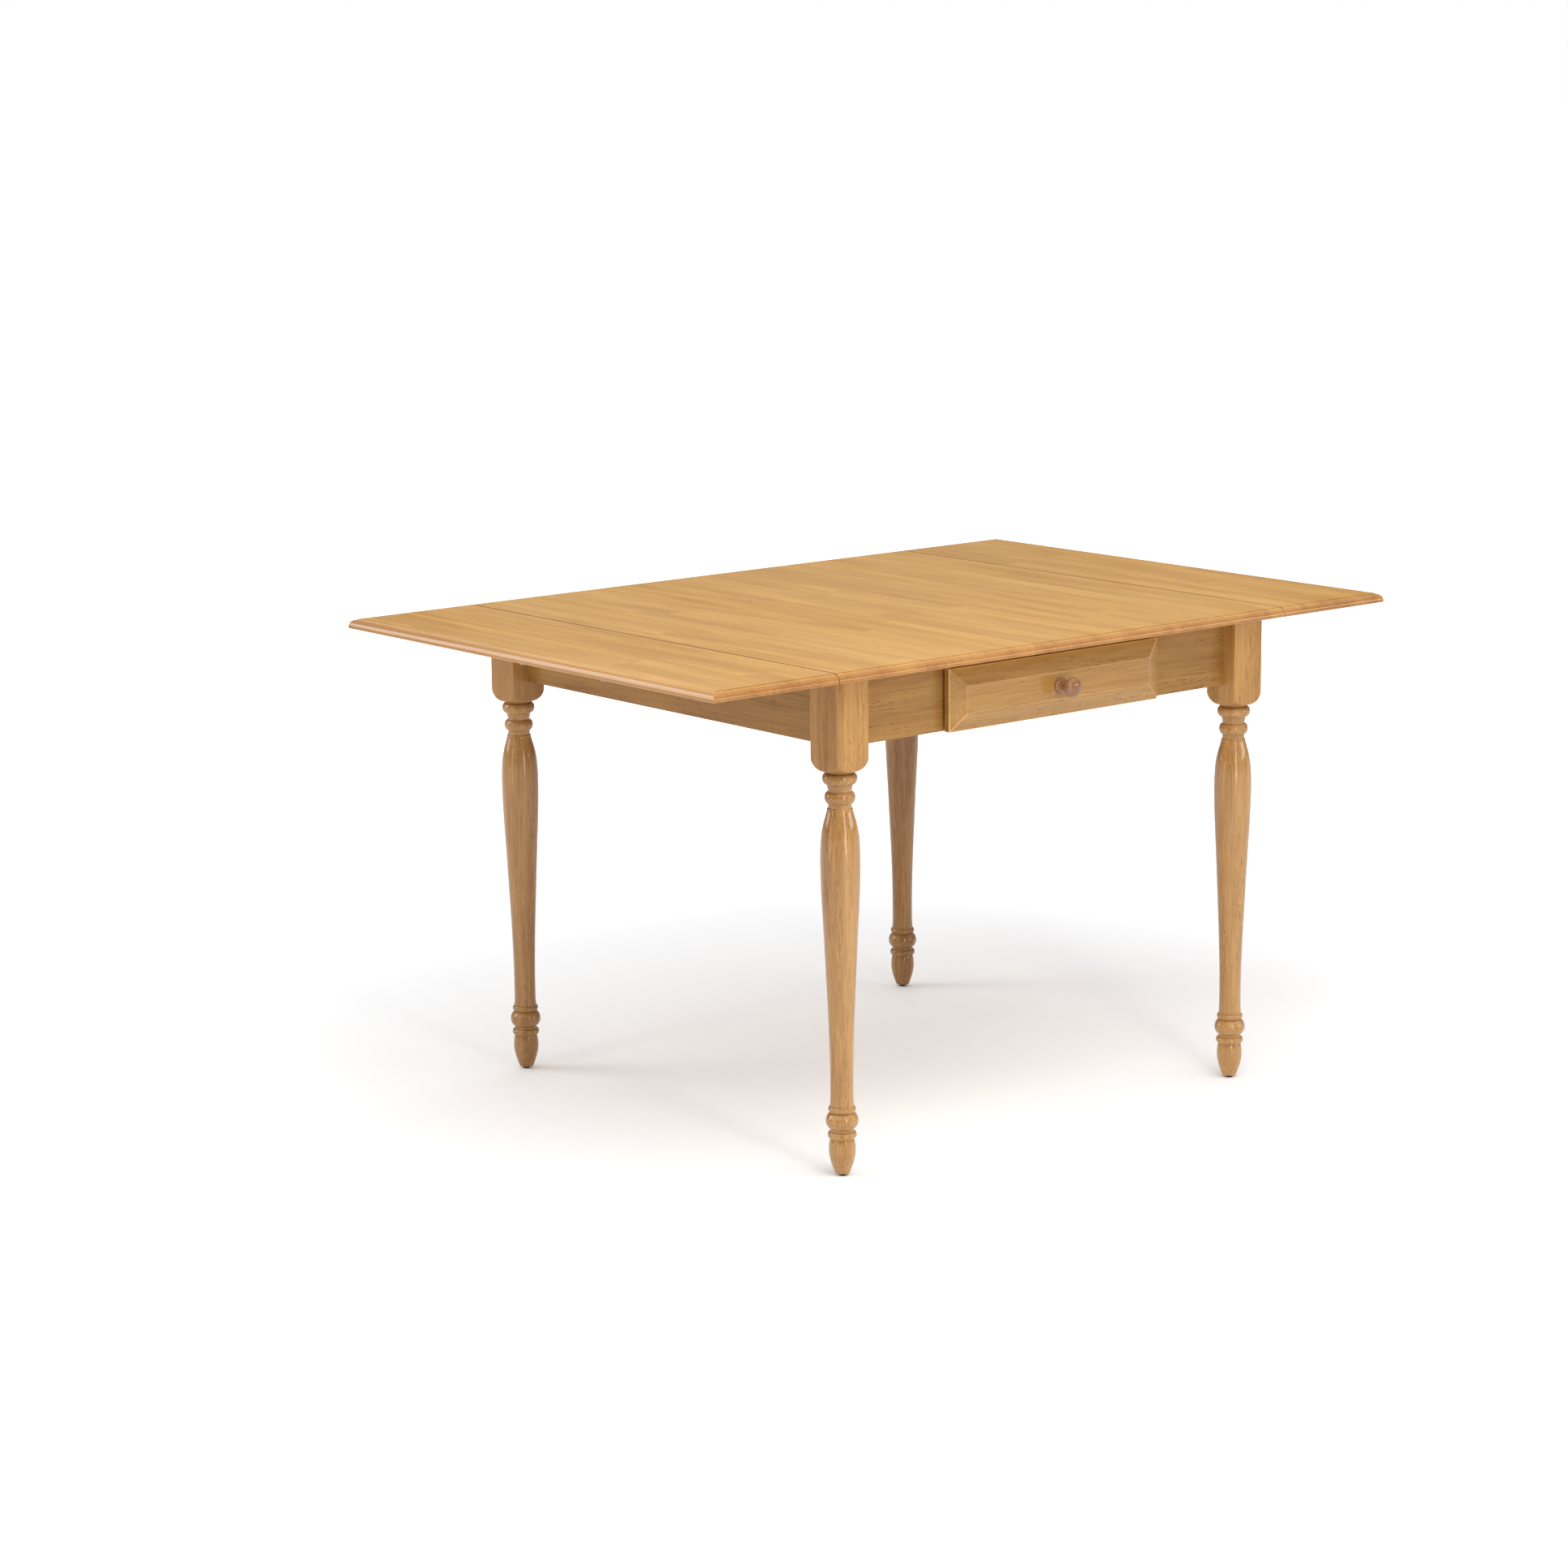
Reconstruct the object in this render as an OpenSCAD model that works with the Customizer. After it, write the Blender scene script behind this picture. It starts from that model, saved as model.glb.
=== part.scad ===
// Drop leaf dining table: four turned legs on a knock-down apron frame, one drawer in
// the front, and a hinged leaf at each end held up by two folding slotted stays.
// X runs along the length, Y from the drawer side (-Y) to the back, Z up from the floor.

/* [Overall] */
// length with both leaves up
table_l = 1371.6; // [1180:0.1:1700]
// width from the drawer side to the back
table_w = 914.4; // [780:0.1:1150]
// height of the top surface above the floor
table_h = 762; // [700:1:860]

/* [Top and leaves] */
// length of each leaf, seam to outer edge
leaf_l = 228.6; // [190:0.1:285]
// thickness of the top and the leaves
top_t = 15; // [15:0.5:22]
// width of the moulded edge
edge_in = 10.5; // [7:0.5:14]
// open seam between the top and a leaf
seam_gap = 1.2; // [0.5:0.1:2]

/* [Legs] */
// side of the square block at the top of a leg
leg_w = 60; // [52:1:72]
// fullest diameter of the turned vase
vase_d = 59; // [50:0.5:60]
// thinnest diameter, at the ankle
ankle_d = 34; // [30:0.5:38]
// leg block set in from the seam
leg_inset_end = 20; // [16:0.5:40]
// leg block set in from the long edge of the top
leg_inset_side = 30; // [20:0.5:60]

/* [Aprons] */
// depth of the aprons
apron_h = 105; // [100:1:126]
// thickness of the aprons
apron_t = 20; // [18:0.5:24]
// end apron set back from the leg block
end_setback = 28; // [26:0.5:31]
// side apron set back from the leg block
side_setback = 24; // [18:0.5:28]

/* [Drawer] */
// width of the drawer front
drawer_w = 429; // [300:1:480]
// gap over the drawer front, under the top
front_reveal = 10.5; // [8:0.5:13]
// front-to-back length of the drawer box
drawer_l = 380; // [250:1:470]
// width of the bevel round the raised field
bevel_w = 27; // [14:0.5:32]
// height of the raised field above the rim
bevel_d = 11; // [5:0.5:12]
// diameter of the knob's head
knob_d = 31; // [24:0.5:36]

/* [Stays and hinges] */
// distance of each stay from the middle of the leaf
stay_off = 110; // [110:1:220]
// distance of the outer hinges from the middle of the leaf
hinge_off = 290; // [270:1:300]

/* [Hidden] */
$fn = 48;

// Colours
wood_top = [0.82, 0.64, 0.39];
wood_frame = [0.71, 0.52, 0.30];
wood_plain = [0.85, 0.76, 0.58];
steel = [0.62, 0.62, 0.64];
black = [0.06, 0.06, 0.06];

// Main places
seam_x = table_l / 2 - leaf_l;
under_z = table_h - top_t;
leg_out_x = seam_x - leg_inset_end;
leg_out_y = table_w / 2 - leg_inset_side;
leg_x = leg_out_x - leg_w / 2;
leg_y = leg_out_y - leg_w / 2;
leg_in_x = leg_out_x - leg_w;
leg_in_y = leg_out_y - leg_w;
end_face_x = leg_out_x - end_setback;
side_face_y = leg_out_y - side_setback;
end_in_x = end_face_x - apron_t;
side_in_y = side_face_y - apron_t;
apron_z = under_z - apron_h;
side_of = [-1, 1];

// Screws: shank, head and the slack round a shank
screw_r = 1.75;
head_r = 3.5;
head_h = 2;
tip_l = 3;
slack = 0.05;
slot_w = 0.9;

// Wood screw with its head's face at the origin, driven along +Z.
module wood_screw(len) {
    difference() {
        union() {
            cylinder(h = head_h, r1 = head_r, r2 = screw_r);
            cylinder(h = len - tip_l, r = screw_r);
            translate([0, 0, len - tip_l]) cylinder(h = tip_l, r1 = screw_r, r2 = 0.4);
        }
        for (a = [0, 90]) {
            rotate([0, 0, a]) translate([-head_r * 0.6, -slot_w / 2, -1])
                cube([head_r * 1.2, slot_w, 2]);
        }
    }
}

// Room for a wood screw: countersink, shank and tip.
module screw_room(len) {
    cylinder(h = head_h, r1 = head_r + slack, r2 = screw_r + slack);
    translate([0, 0, -1]) cylinder(h = 1.001, r = head_r + slack);
    cylinder(h = len + slack, r = screw_r + slack);
}

// ---- Top and leaves: edge moulding with a small step, an ovolo and a soft lower edge
edge_soft_r = 1.5;
edge_land = 1.2;
edge_step_down = 1.2;
edge_step_in = 1;

function edge_points() =
    let (lift = edge_soft_r + edge_land,
         rise = top_t - edge_step_down - lift,
         run = edge_in - edge_step_in)
    concat(
        [for (i = [0:3]) let (a = i * 30)
            [edge_soft_r * (sin(a) - 1), edge_soft_r * (1 - cos(a))]],
        [for (i = [0:8]) let (a = i * 90 / 8)
            [-run * (1 - cos(a)), lift + rise * sin(a)]],
        [[-edge_in, top_t - edge_step_down], [-edge_in, top_t]]
    );

function mirrored(list) = [for (i = [len(list) - 1:-1:0]) [-list[i][0], list[i][1]]];
function shifted(list, d) = [for (p = list) [p[0] + d, p[1]]];

// Slab from x0 to x1 with both long edges moulded.
module moulded_slab(x0, x1) {
    side = shifted(edge_points(), table_w / 2);
    translate([x0, 0, under_z]) rotate([90, 0, 90]) linear_extrude(x1 - x0)
        polygon(concat(side, mirrored(side)));
}

// Hinge screws, seen from the pin: [distance from the seam, along the pin]
hinge_drop = 3.5;
hinge_ys = [-hinge_off, 0, hinge_off];
hinge_screw_l = 12;
plate_t = 2;
fixed_holes = [[-14, -13], [-14, 13], [-30, 0]];
moving_holes = [[16, -13], [16, 13], [50, 0]];

// Sizes of the frame that the screws of the top depend on
cleat_h = 20;
cleat_w = 20;
cleat_screw_l = 30;
rail_h = 14;
rail_screw_l = 24;
brace_t = 22;
brace_gap = 6;
brace_c2 = brace_gap + brace_t * sqrt(2);
brace_p = -(end_in_x - leg_in_x);
brace_q = -(side_in_y - leg_in_y);
cleat_end_y = leg_in_y - (brace_c2 - brace_p) - 15;
open_half = drawer_w / 2 - 14;
cleat_back_x = open_half - 20;

// Screw heads under the top that hold it down: [x, y, head z, length]
hold_down = concat(
    [for (s = side_of, t = [-0.85, -0.3, 0.3, 0.85])
        [s * (end_in_x - cleat_w / 2), t * cleat_end_y, under_z - cleat_h, cleat_screw_l]],
    [for (t = [-0.8, 0, 0.8])
        [t * cleat_back_x, side_in_y - cleat_w / 2, under_z - cleat_h, cleat_screw_l]],
    [for (t = [-0.7, 0.7])
        [t * open_half, -(side_face_y - apron_t / 2), under_z - rail_h, rail_screw_l]]
);

module top_centre() {
    half = seam_x - seam_gap / 2;
    color(wood_top) difference() {
        moulded_slab(-half, half);
        for (h = hold_down) translate([h[0], h[1], h[2]]) screw_room(h[3]);
        for (s = side_of) scale([s, 1, 1]) at_hinges() for (h = fixed_holes)
            translate([h[0], h[1], hinge_drop - plate_t]) screw_room(hinge_screw_l);
    }
}

// Right-hand leaf; the left one is its mirror image.
module leaf_board() {
    x0 = seam_x + seam_gap / 2;
    x1 = table_l / 2;
    outer = shifted(edge_points(), x1);
    difference() {
        intersection() {
            moulded_slab(x0, x1);
            translate([0, 0, under_z]) rotate([90, 0, 0])
                linear_extrude(table_w + 2, center = true)
                polygon(concat([[x0, 0]], outer, [[x0, top_t]]));
        }
        at_hinges() for (h = moving_holes)
            translate([h[0], h[1], hinge_drop - plate_t]) screw_room(hinge_screw_l);
        at_stays() leaf_plate_screws() screw_room(stay_screw_l);
    }
}

module left_leaf_board() { color(wood_top) mirror([1, 0, 0]) leaf_board(); }
module right_leaf_board() { color(wood_top) leaf_board(); }

// ---- Legs: square block, two beads, long vase, ring, ball, ring and peg foot
block_z = apron_z - 34;
glide_h = 3;
glide_r = 6.5;
nail_r = 1.5;
nail_l = 15;
groove_r = ankle_d / 2 + 0.5;
peg_r = 20;
peg_bottom_r = 11.5;
peg_z = 40;
peg_top_z = 54;
ring_low = [62, 5.5, 21.5];
ball = [83.5, 12.5, 24.3];
ring_up = [101, 4.5, 20.6];
ankle_z = 120;
bead_low = [block_z - 39.5, 9, 22.8];
bead_up = [block_z - 11.5, 8.5, 26];
neck_r = 17.4;
neck_z = block_z - 58;
neck_step_r = 19;
shoulder_h = 24;
shoulder_r = 24;
bolt_r = 4;
bolt_in = 40;
bolt_zs = [under_z - 30, under_z - 72];

// Share of the fullest radius along the vase, from the ankle up to the neck.
vase_shape = [[0, 0], [0.12, 0.02], [0.26, 0.16], [0.40, 0.38], [0.56, 0.64], [0.71, 0.9],
    [0.81, 1], [0.87, 0.97], [0.915, 0.84], [0.95, 0.58], [0.98, 0.22], [1, 0]];

// Radius at a control point: below the fullest point it grows from the ankle, above it
// falls to the neck step.
function vase_r(i) = let (base = vase_shape[i][0] <= 0.81 ? ankle_d / 2 : neck_step_r)
    base + vase_shape[i][1] * (vase_d / 2 - base);
function vase_ctrl(i) = let (n = len(vase_shape), k = max(0, min(n - 1, i)))
    [vase_r(k), ankle_z + vase_shape[k][0] * (neck_z - ankle_z)];
function through(a, b, c, d, t) = 0.5 * (2 * b + (c - a) * t
    + (2 * a - 5 * b + 4 * c - d) * t * t + (3 * b - a - 3 * c + d) * t * t * t);
function vase_points() = [for (i = [0:len(vase_shape) - 2], k = [0:2])
    through(vase_ctrl(i - 1), vase_ctrl(i), vase_ctrl(i + 1), vase_ctrl(i + 2), k / 3)];

// Rounded band: centre height, half height, radius at its edges and at its fullest.
function band(zc, hh, r0, r1, e, n) = [for (i = [-n:n]) let (t = i / n)
    [r0 + (r1 - r0) * pow(1 - t * t, e), zc + hh * t]];

function leg_points() = concat(
    [[0, glide_h], [peg_bottom_r - 2, glide_h], [peg_bottom_r, glide_h + 1.5]],
    [for (i = [1:6]) let (t = i / 6)
        [peg_bottom_r + (peg_r - peg_bottom_r) * sin(90 * t),
         glide_h + 1.5 + (peg_z - glide_h - 1.5) * t]],
    [for (i = [1:3]) let (t = i / 3) [peg_r - 1.5 * t * t, peg_z + (peg_top_z - peg_z) * t]],
    band(ring_low[0], ring_low[1], groove_r, ring_low[2], 0.55, 4),
    band(ball[0], ball[1], groove_r, ball[2], 0.8, 6),
    band(ring_up[0], ring_up[1], groove_r, ring_up[2], 0.6, 4),
    [[groove_r + 0.6, 108], [groove_r, 113]],
    vase_points(),
    [[neck_step_r, neck_z], [neck_step_r, neck_z + 2], [neck_r, neck_z + 4]],
    band(bead_low[0], bead_low[1], neck_r, bead_low[2], 0.6, 5),
    [[neck_r + 0.4, bead_low[0] + bead_low[1] + 4]],
    band(bead_up[0], bead_up[1], neck_r + 2.4, bead_up[2], 0.55, 5),
    [[neck_r + 3.6, block_z - 1.5], [neck_r + 3.6, block_z + 3], [0, block_z + 3]]
);

function shoulder_points() = concat(
    [[0, block_z]],
    [for (i = [0:8]) let (a = i * 90 / 8)
        [shoulder_r + (leg_w * 0.72 - shoulder_r) * sin(a),
         block_z + shoulder_h * (1 - cos(a))]],
    [[leg_w * 0.72, under_z], [0, under_z]]
);

// Leg of the back right corner, standing at its real place.
module leg() {
    difference() {
        translate([leg_x, leg_y, 0]) union() {
            rotate_extrude() polygon(leg_points());
            intersection() {
                translate([-leg_w / 2, -leg_w / 2, 0]) cube([leg_w, leg_w, under_z]);
                rotate_extrude() polygon(shoulder_points());
            }
        }
        translate([leg_x, leg_y, 0])
            cylinder(h = glide_h + nail_l + slack, r = nail_r + slack);
        for (z = bolt_zs) on_diagonal(z)
            translate([0, 0, -bolt_in - 1]) cylinder(h = bolt_in + 2, r = bolt_r + slack);
    }
}

// Puts children on the diagonal through a leg's inner corner, +Z pointing inward.
module on_diagonal(z) {
    translate([leg_in_x, leg_in_y, z]) rotate([0, 0, 225]) rotate([0, 90, 0]) children();
}

module front_left_leg() { color(wood_frame) mirror([1, 0, 0]) mirror([0, 1, 0]) leg(); }
module front_right_leg() { color(wood_frame) mirror([0, 1, 0]) leg(); }
module back_left_leg() { color(wood_frame) mirror([1, 0, 0]) leg(); }
module back_right_leg() { color(wood_frame) leg(); }

module leg_glides() {
    color(black) for (sx = side_of, sy = side_of) translate([sx * leg_x, sy * leg_y, 0]) {
        cylinder(h = glide_h, r1 = glide_r - 1, r2 = glide_r);
        cylinder(h = glide_h + nail_l, r = nail_r);
    }
}

// ---- Aprons
end_apron_l = 2 * leg_in_y;
housing = 8;
cut_past = 1;
runner_t = 18;
runner_h = 60;
runner_z = apron_z + 22;
dowel_r = 3;
dowel_l = 30;

module end_apron() {
    difference() {
        translate([end_in_x, -end_apron_l / 2, apron_z])
            cube([apron_t, end_apron_l, apron_h]);
        for (sy = side_of) mirror([0, sy > 0 ? 0 : 1, 0]) brace_screws_at_end()
            screw_room(brace_screw_l);
        at_stays() apron_bracket_screws() screw_room(stay_screw_l);
    }
}

module left_apron() { color(wood_frame) mirror([1, 0, 0]) end_apron(); }
module right_apron() { color(wood_frame) end_apron(); }

// Sockets for the ends of the drawer runners, cut into an apron's inner face.
module runner_sockets(y0) {
    for (s = side_of) translate([s > 0 ? open_half : -open_half - runner_t, y0, runner_z])
        cube([runner_t, housing + cut_past, runner_h]);
}

module back_apron() {
    color(wood_frame) difference() {
        translate([-leg_in_x, side_in_y, apron_z]) cube([2 * leg_in_x, apron_t, apron_h]);
        for (s = side_of) mirror([s > 0 ? 0 : 1, 0, 0]) brace_screws_at_side()
            screw_room(brace_screw_l);
        runner_sockets(side_in_y - cut_past);
    }
}

rail_low_z = apron_z;
rail_up_z = under_z - rail_h;

// Each rail end takes one dowel.
module at_dowels() {
    for (s = side_of, z = [rail_low_z + rail_h / 2, rail_up_z + rail_h / 2])
        translate([s * open_half, -(side_face_y - apron_t / 2), z]) rotate([0, 90, 0])
            children();
}

// Front apron piece on the right of the drawer.
module front_apron_piece() {
    difference() {
        translate([open_half, -side_face_y, apron_z])
            cube([leg_in_x - open_half, apron_t, apron_h]);
        mirror([0, 1, 0]) brace_screws_at_side() screw_room(brace_screw_l);
        runner_sockets(-side_in_y - housing);
        at_dowels() cylinder(h = dowel_l + 1, r = dowel_r + slack, center = true);
    }
}

module front_apron_left() { color(wood_frame) mirror([1, 0, 0]) front_apron_piece(); }
module front_apron_right() { color(wood_frame) front_apron_piece(); }

module drawer_rail(z0) {
    difference() {
        translate([-open_half, -side_face_y, z0]) cube([2 * open_half, apron_t, rail_h]);
        at_dowels() cylinder(h = dowel_l + 1, r = dowel_r + slack, center = true);
        for (h = hold_down) translate([h[0], h[1], h[2]]) screw_room(h[3]);
    }
}

module upper_drawer_rail() { color(wood_frame) drawer_rail(rail_up_z); }
module lower_drawer_rail() { color(wood_frame) drawer_rail(rail_low_z); }
module rail_dowels() {
    color(wood_plain) at_dowels() cylinder(h = dowel_l, r = dowel_r, center = true);
}

// ---- Corner braces, their bolts and screws
brace_h = 84;
brace_z = under_z - 8 - brace_h;
brace_hole_r = 4.6;
bolt_out = 44;
washer_r = 10;
washer_t = 2;
nut_af = 13;
nut_h = 6.8;
brace_face = brace_c2 / sqrt(2);
brace_screw_l = 22;
brace_screw_zs = [brace_z + 22, brace_z + brace_h - 22];
brace_left_t = 10;
recess_r = 4.5;

// Screws through a brace into the end apron, for the back right corner.
module brace_screws_at_end() {
    q = (brace_gap + brace_c2) / 2 - brace_p;
    for (z = brace_screw_zs)
        translate([leg_in_x - (brace_p + brace_left_t), leg_in_y - q, z])
            rotate([0, 90, 0]) children();
}

// Screws through a brace into the side apron, for the back right corner.
module brace_screws_at_side() {
    p = (brace_gap + brace_c2) / 2 - brace_q;
    for (z = brace_screw_zs)
        translate([leg_in_x - p, leg_in_y - (brace_q + brace_left_t), z])
            rotate([-90, 0, 0]) children();
}

// Brace of the back right corner.
module brace() {
    difference() {
        translate([leg_in_x, leg_in_y, brace_z]) linear_extrude(brace_h) mirror([1, 0])
            mirror([0, 1]) polygon([
                [brace_p, brace_gap - brace_p], [brace_gap - brace_q, brace_q],
                [brace_c2 - brace_q, brace_q], [brace_p, brace_c2 - brace_p]]);
        for (z = bolt_zs) on_diagonal(z) cylinder(h = bolt_out, r = brace_hole_r);
        brace_screws_at_end() union() {
            screw_room(brace_screw_l);
            translate([0, 0, -bolt_out]) cylinder(h = bolt_out, r = recess_r);
        }
        brace_screws_at_side() union() {
            screw_room(brace_screw_l);
            translate([0, 0, -bolt_out]) cylinder(h = bolt_out, r = recess_r);
        }
    }
}

module front_left_brace() { color(wood_plain) mirror([1, 0, 0]) mirror([0, 1, 0]) brace(); }
module front_right_brace() { color(wood_plain) mirror([0, 1, 0]) brace(); }
module back_left_brace() { color(wood_plain) mirror([1, 0, 0]) brace(); }
module back_right_brace() { color(wood_plain) brace(); }

// Repeats children, made for the back right corner, at all four corners.
module four_corners() {
    for (sx = side_of, sy = side_of)
        mirror([sx > 0 ? 0 : 1, 0, 0]) mirror([0, sy > 0 ? 0 : 1, 0]) children();
}

module hanger_bolts() {
    color(steel) four_corners() for (z = bolt_zs) on_diagonal(z) {
        translate([0, 0, -bolt_in]) cylinder(h = 6, r1 = 1.5, r2 = bolt_r);
        translate([0, 0, 6 - bolt_in]) cylinder(h = bolt_in + bolt_out - 7, r = bolt_r);
        translate([0, 0, bolt_out - 1]) cylinder(h = 1, r1 = bolt_r, r2 = bolt_r - 1);
    }
}

module bolt_washers() {
    color(steel) four_corners() for (z = bolt_zs) on_diagonal(z) translate([0, 0, brace_face])
        difference() {
            cylinder(h = washer_t, r = washer_r);
            translate([0, 0, -1]) cylinder(h = washer_t + 2, r = bolt_r + 0.3);
        }
}

module bolt_nuts() {
    color(steel) four_corners() for (z = bolt_zs) on_diagonal(z)
        translate([0, 0, brace_face + washer_t]) difference() {
            cylinder(h = nut_h, r = nut_af / 2 / cos(30), $fn = 6);
            translate([0, 0, -1]) cylinder(h = nut_h + 2, r = bolt_r + slack / 2);
        }
}

module brace_screws() {
    color(steel) four_corners() {
        brace_screws_at_end() wood_screw(brace_screw_l);
        brace_screws_at_side() wood_screw(brace_screw_l);
    }
}

// ---- Cleats that hold the top down
module end_cleat() {
    difference() {
        translate([end_in_x - cleat_w, -cleat_end_y, under_z - cleat_h])
            cube([cleat_w, 2 * cleat_end_y, cleat_h]);
        for (h = hold_down) translate([h[0], h[1], h[2]]) screw_room(h[3]);
    }
}

module left_cleat() { color(wood_plain) mirror([1, 0, 0]) end_cleat(); }
module right_cleat() { color(wood_plain) end_cleat(); }

module back_cleat() {
    color(wood_plain) difference() {
        translate([-cleat_back_x, side_in_y - cleat_w, under_z - cleat_h])
            cube([2 * cleat_back_x, cleat_w, cleat_h]);
        for (h = hold_down) translate([h[0], h[1], h[2]]) screw_room(h[3]);
    }
}

module top_screws() {
    color(steel) for (h = hold_down) translate([h[0], h[1], h[2]]) wood_screw(h[3]);
}

// ---- Drawer: applied raised front on a grooved box that hangs on two strips
front_stand = 6;
front_back_y = -side_face_y - front_stand;
front_t = 21;
rim_y = front_back_y - (front_t - bevel_d);
field_y = front_back_y - front_t;
front_drop = 0.5;
front_z = apron_z - front_drop;
drawer_h = apron_h + front_drop - front_reveal;
front_mid_z = front_z + drawer_h / 2;
box_clear = 3;
box_half = open_half - box_clear;
box_t = 12;
box_z = apron_z + rail_h + box_clear;
box_h = apron_h - 2 * rail_h - 3 * box_clear;
box_back_y = front_back_y + drawer_l;
bottom_t = 4;
bottom_lift = 6;
bottom_in = 5;
bottom_slack = 0.2;
strip_h = 8;
strip_slack = 0.5;
strip_in = 6.5;
strip_z = box_z + box_h / 2;
stop_l = 40;
stop_w = 14;
touch_gap = 0.3;

module runner() {
    translate([open_half, -side_in_y - housing, runner_z])
        cube([runner_t, 2 * (side_in_y + housing), runner_h]);
}

module left_runner() { color(wood_plain) mirror([1, 0, 0]) runner(); }
module right_runner() { color(wood_plain) runner(); }

module runner_strips() {
    w = box_clear + strip_in - strip_slack;
    l = box_back_y - 6 + side_in_y;
    color(wood_plain) for (s = side_of) mirror([s > 0 ? 0 : 1, 0, 0])
        translate([open_half - w, -side_in_y, strip_z - strip_h / 2]) cube([w, l, strip_h]);
}

module drawer_stops() {
    color(wood_plain) for (s = side_of) mirror([s > 0 ? 0 : 1, 0, 0])
        translate([open_half - stop_w, box_back_y + touch_gap, strip_z - stop_w])
            cube([stop_w, stop_l, 2 * stop_w]);
}

// Raised panel: two prisms with sloped rims meet in mitred bevels.
module raised_panel() {
    hw = drawer_w / 2;
    hh = drawer_h / 2;
    intersection() {
        translate([0, 0, front_z - 1]) linear_extrude(drawer_h + 2) polygon([
            [-hw, front_back_y], [hw, front_back_y], [hw, rim_y], [hw - bevel_w, field_y],
            [bevel_w - hw, field_y], [-hw, rim_y]]);
        translate([0, 0, front_mid_z]) rotate([90, 0, 90])
            linear_extrude(drawer_w + 2, center = true) polygon([
                [front_back_y, -hh], [front_back_y, hh], [rim_y, hh],
                [field_y, hh - bevel_w], [field_y, bevel_w - hh], [rim_y, -hh]]);
    }
}

front_screw_l = 26;
front_screws = [[-0.8, 0.25], [-0.8, -0.22], [0.8, 0.25], [0.8, -0.22]];
knob_shank_r = 2;
knob_thread = 14;

// Screws from inside the box into the drawer front, driven along -Y.
module at_front_screws() {
    for (p = front_screws) translate([p[0] * box_half, front_back_y + box_t,
            box_z + box_h * (0.5 + p[1])]) rotate([90, 0, 0]) children();
}

module knob_bolt_room() {
    translate([0, front_back_y + box_t, front_mid_z]) rotate([90, 0, 0])
        cylinder(h = box_t + front_t + 0.1, r = knob_shank_r + 0.3);
}

module drawer_front() {
    color(wood_frame) difference() {
        raised_panel();
        at_front_screws() screw_room(front_screw_l);
        knob_bolt_room();
    }
}

// Groove that takes the plywood bottom, on all four walls.
module bottom_groove() {
    half = box_half - box_t + bottom_in - bottom_slack;
    translate([-half, front_back_y + box_t - bottom_in, box_z + bottom_lift])
        cube([2 * half, drawer_l - 2 * (box_t - bottom_in), bottom_t + bottom_slack]);
}

module box_end(y0) {
    translate([-(box_half - box_t), y0, box_z]) cube([2 * (box_half - box_t), box_t, box_h]);
}

module box_front() {
    color(wood_plain) difference() {
        box_end(front_back_y);
        bottom_groove();
        at_front_screws() screw_room(front_screw_l);
        knob_bolt_room();
    }
}

module box_back() {
    color(wood_plain) difference() {
        box_end(box_back_y - box_t);
        bottom_groove();
    }
}

module box_side() {
    difference() {
        translate([box_half - box_t, front_back_y, box_z]) cube([box_t, drawer_l, box_h]);
        bottom_groove();
        translate([box_half - strip_in, front_back_y - 1, strip_z - strip_h / 2 - strip_slack])
            cube([strip_in + 1, drawer_l + 2, strip_h + 2 * strip_slack]);
    }
}

module box_left_side() { color(wood_plain) mirror([1, 0, 0]) box_side(); }
module box_right_side() { color(wood_plain) box_side(); }

module box_bottom() {
    inset = bottom_in - 2 * bottom_slack;
    color(wood_plain) translate([-(box_half - box_t + inset),
            front_back_y + box_t - inset, box_z + bottom_lift])
        cube([2 * (box_half - box_t + inset), drawer_l - 2 * (box_t - inset), bottom_t]);
}

// Knob: flange, cove neck and a flattened round head, turned about Y.
knob_flange_r = 12.5;
knob_flange_t = 3;
knob_neck_r = 7.5;
knob_head_z = 28;
knob_head_t = 15;

function knob_points() = concat(
    [[0, 0], [knob_flange_r - 0.8, 0], [knob_flange_r, 0.8],
     [knob_flange_r, knob_flange_t - 0.8], [knob_flange_r - 1, knob_flange_t]],
    [for (i = [0:6]) let (t = i / 6, zs = knob_flange_t + 1,
            ze = knob_head_z - knob_head_t / 2)
        [knob_neck_r + 2.5 * pow(2 * t - 1, 2), zs + (ze - zs) * t]],
    [for (i = [1:12]) let (a = -90 + i * 15)
        [i == 12 ? 0 : knob_d / 2 * pow(cos(a), 0.8), knob_head_z + knob_head_t / 2 * sin(a)]]
);

module drawer_knob() {
    color(wood_frame) difference() {
        translate([0, field_y, front_mid_z]) rotate([90, 0, 0])
            rotate_extrude() polygon(knob_points());
        translate([0, field_y + 1, front_mid_z]) rotate([90, 0, 0])
            cylinder(h = knob_thread + 1.5, r = knob_shank_r + slack);
    }
}

module knob_screw() {
    color(steel) translate([0, front_back_y + box_t, front_mid_z]) rotate([90, 0, 0]) {
        difference() {
            translate([0, 0, -2]) cylinder(h = 2, r1 = 3, r2 = 4.2);
            for (a = [0, 90]) rotate([0, 0, a]) translate([-2.4, -slot_w / 2, -3])
                cube([4.8, slot_w, 2]);
        }
        translate([0, 0, -0.01])
            cylinder(h = box_t + front_t + knob_thread, r = knob_shank_r);
    }
}

module drawer_front_screws() { color(steel) at_front_screws() wood_screw(front_screw_l); }

// ---- Hinges. Local frame: origin on the pin's axis, +X towards the right leaf's edge.
hinge_len = 40;
knuckle_r = 3.2;
pin_r = 2;
run_gap = 0.05;
set_gap = 0.01;
plate_in = 4;
fixed_plate_l = 38;
moving_plate_l = 62;
mid_knuckle = 13.2;
knuckle_gap = 0.4;

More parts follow.
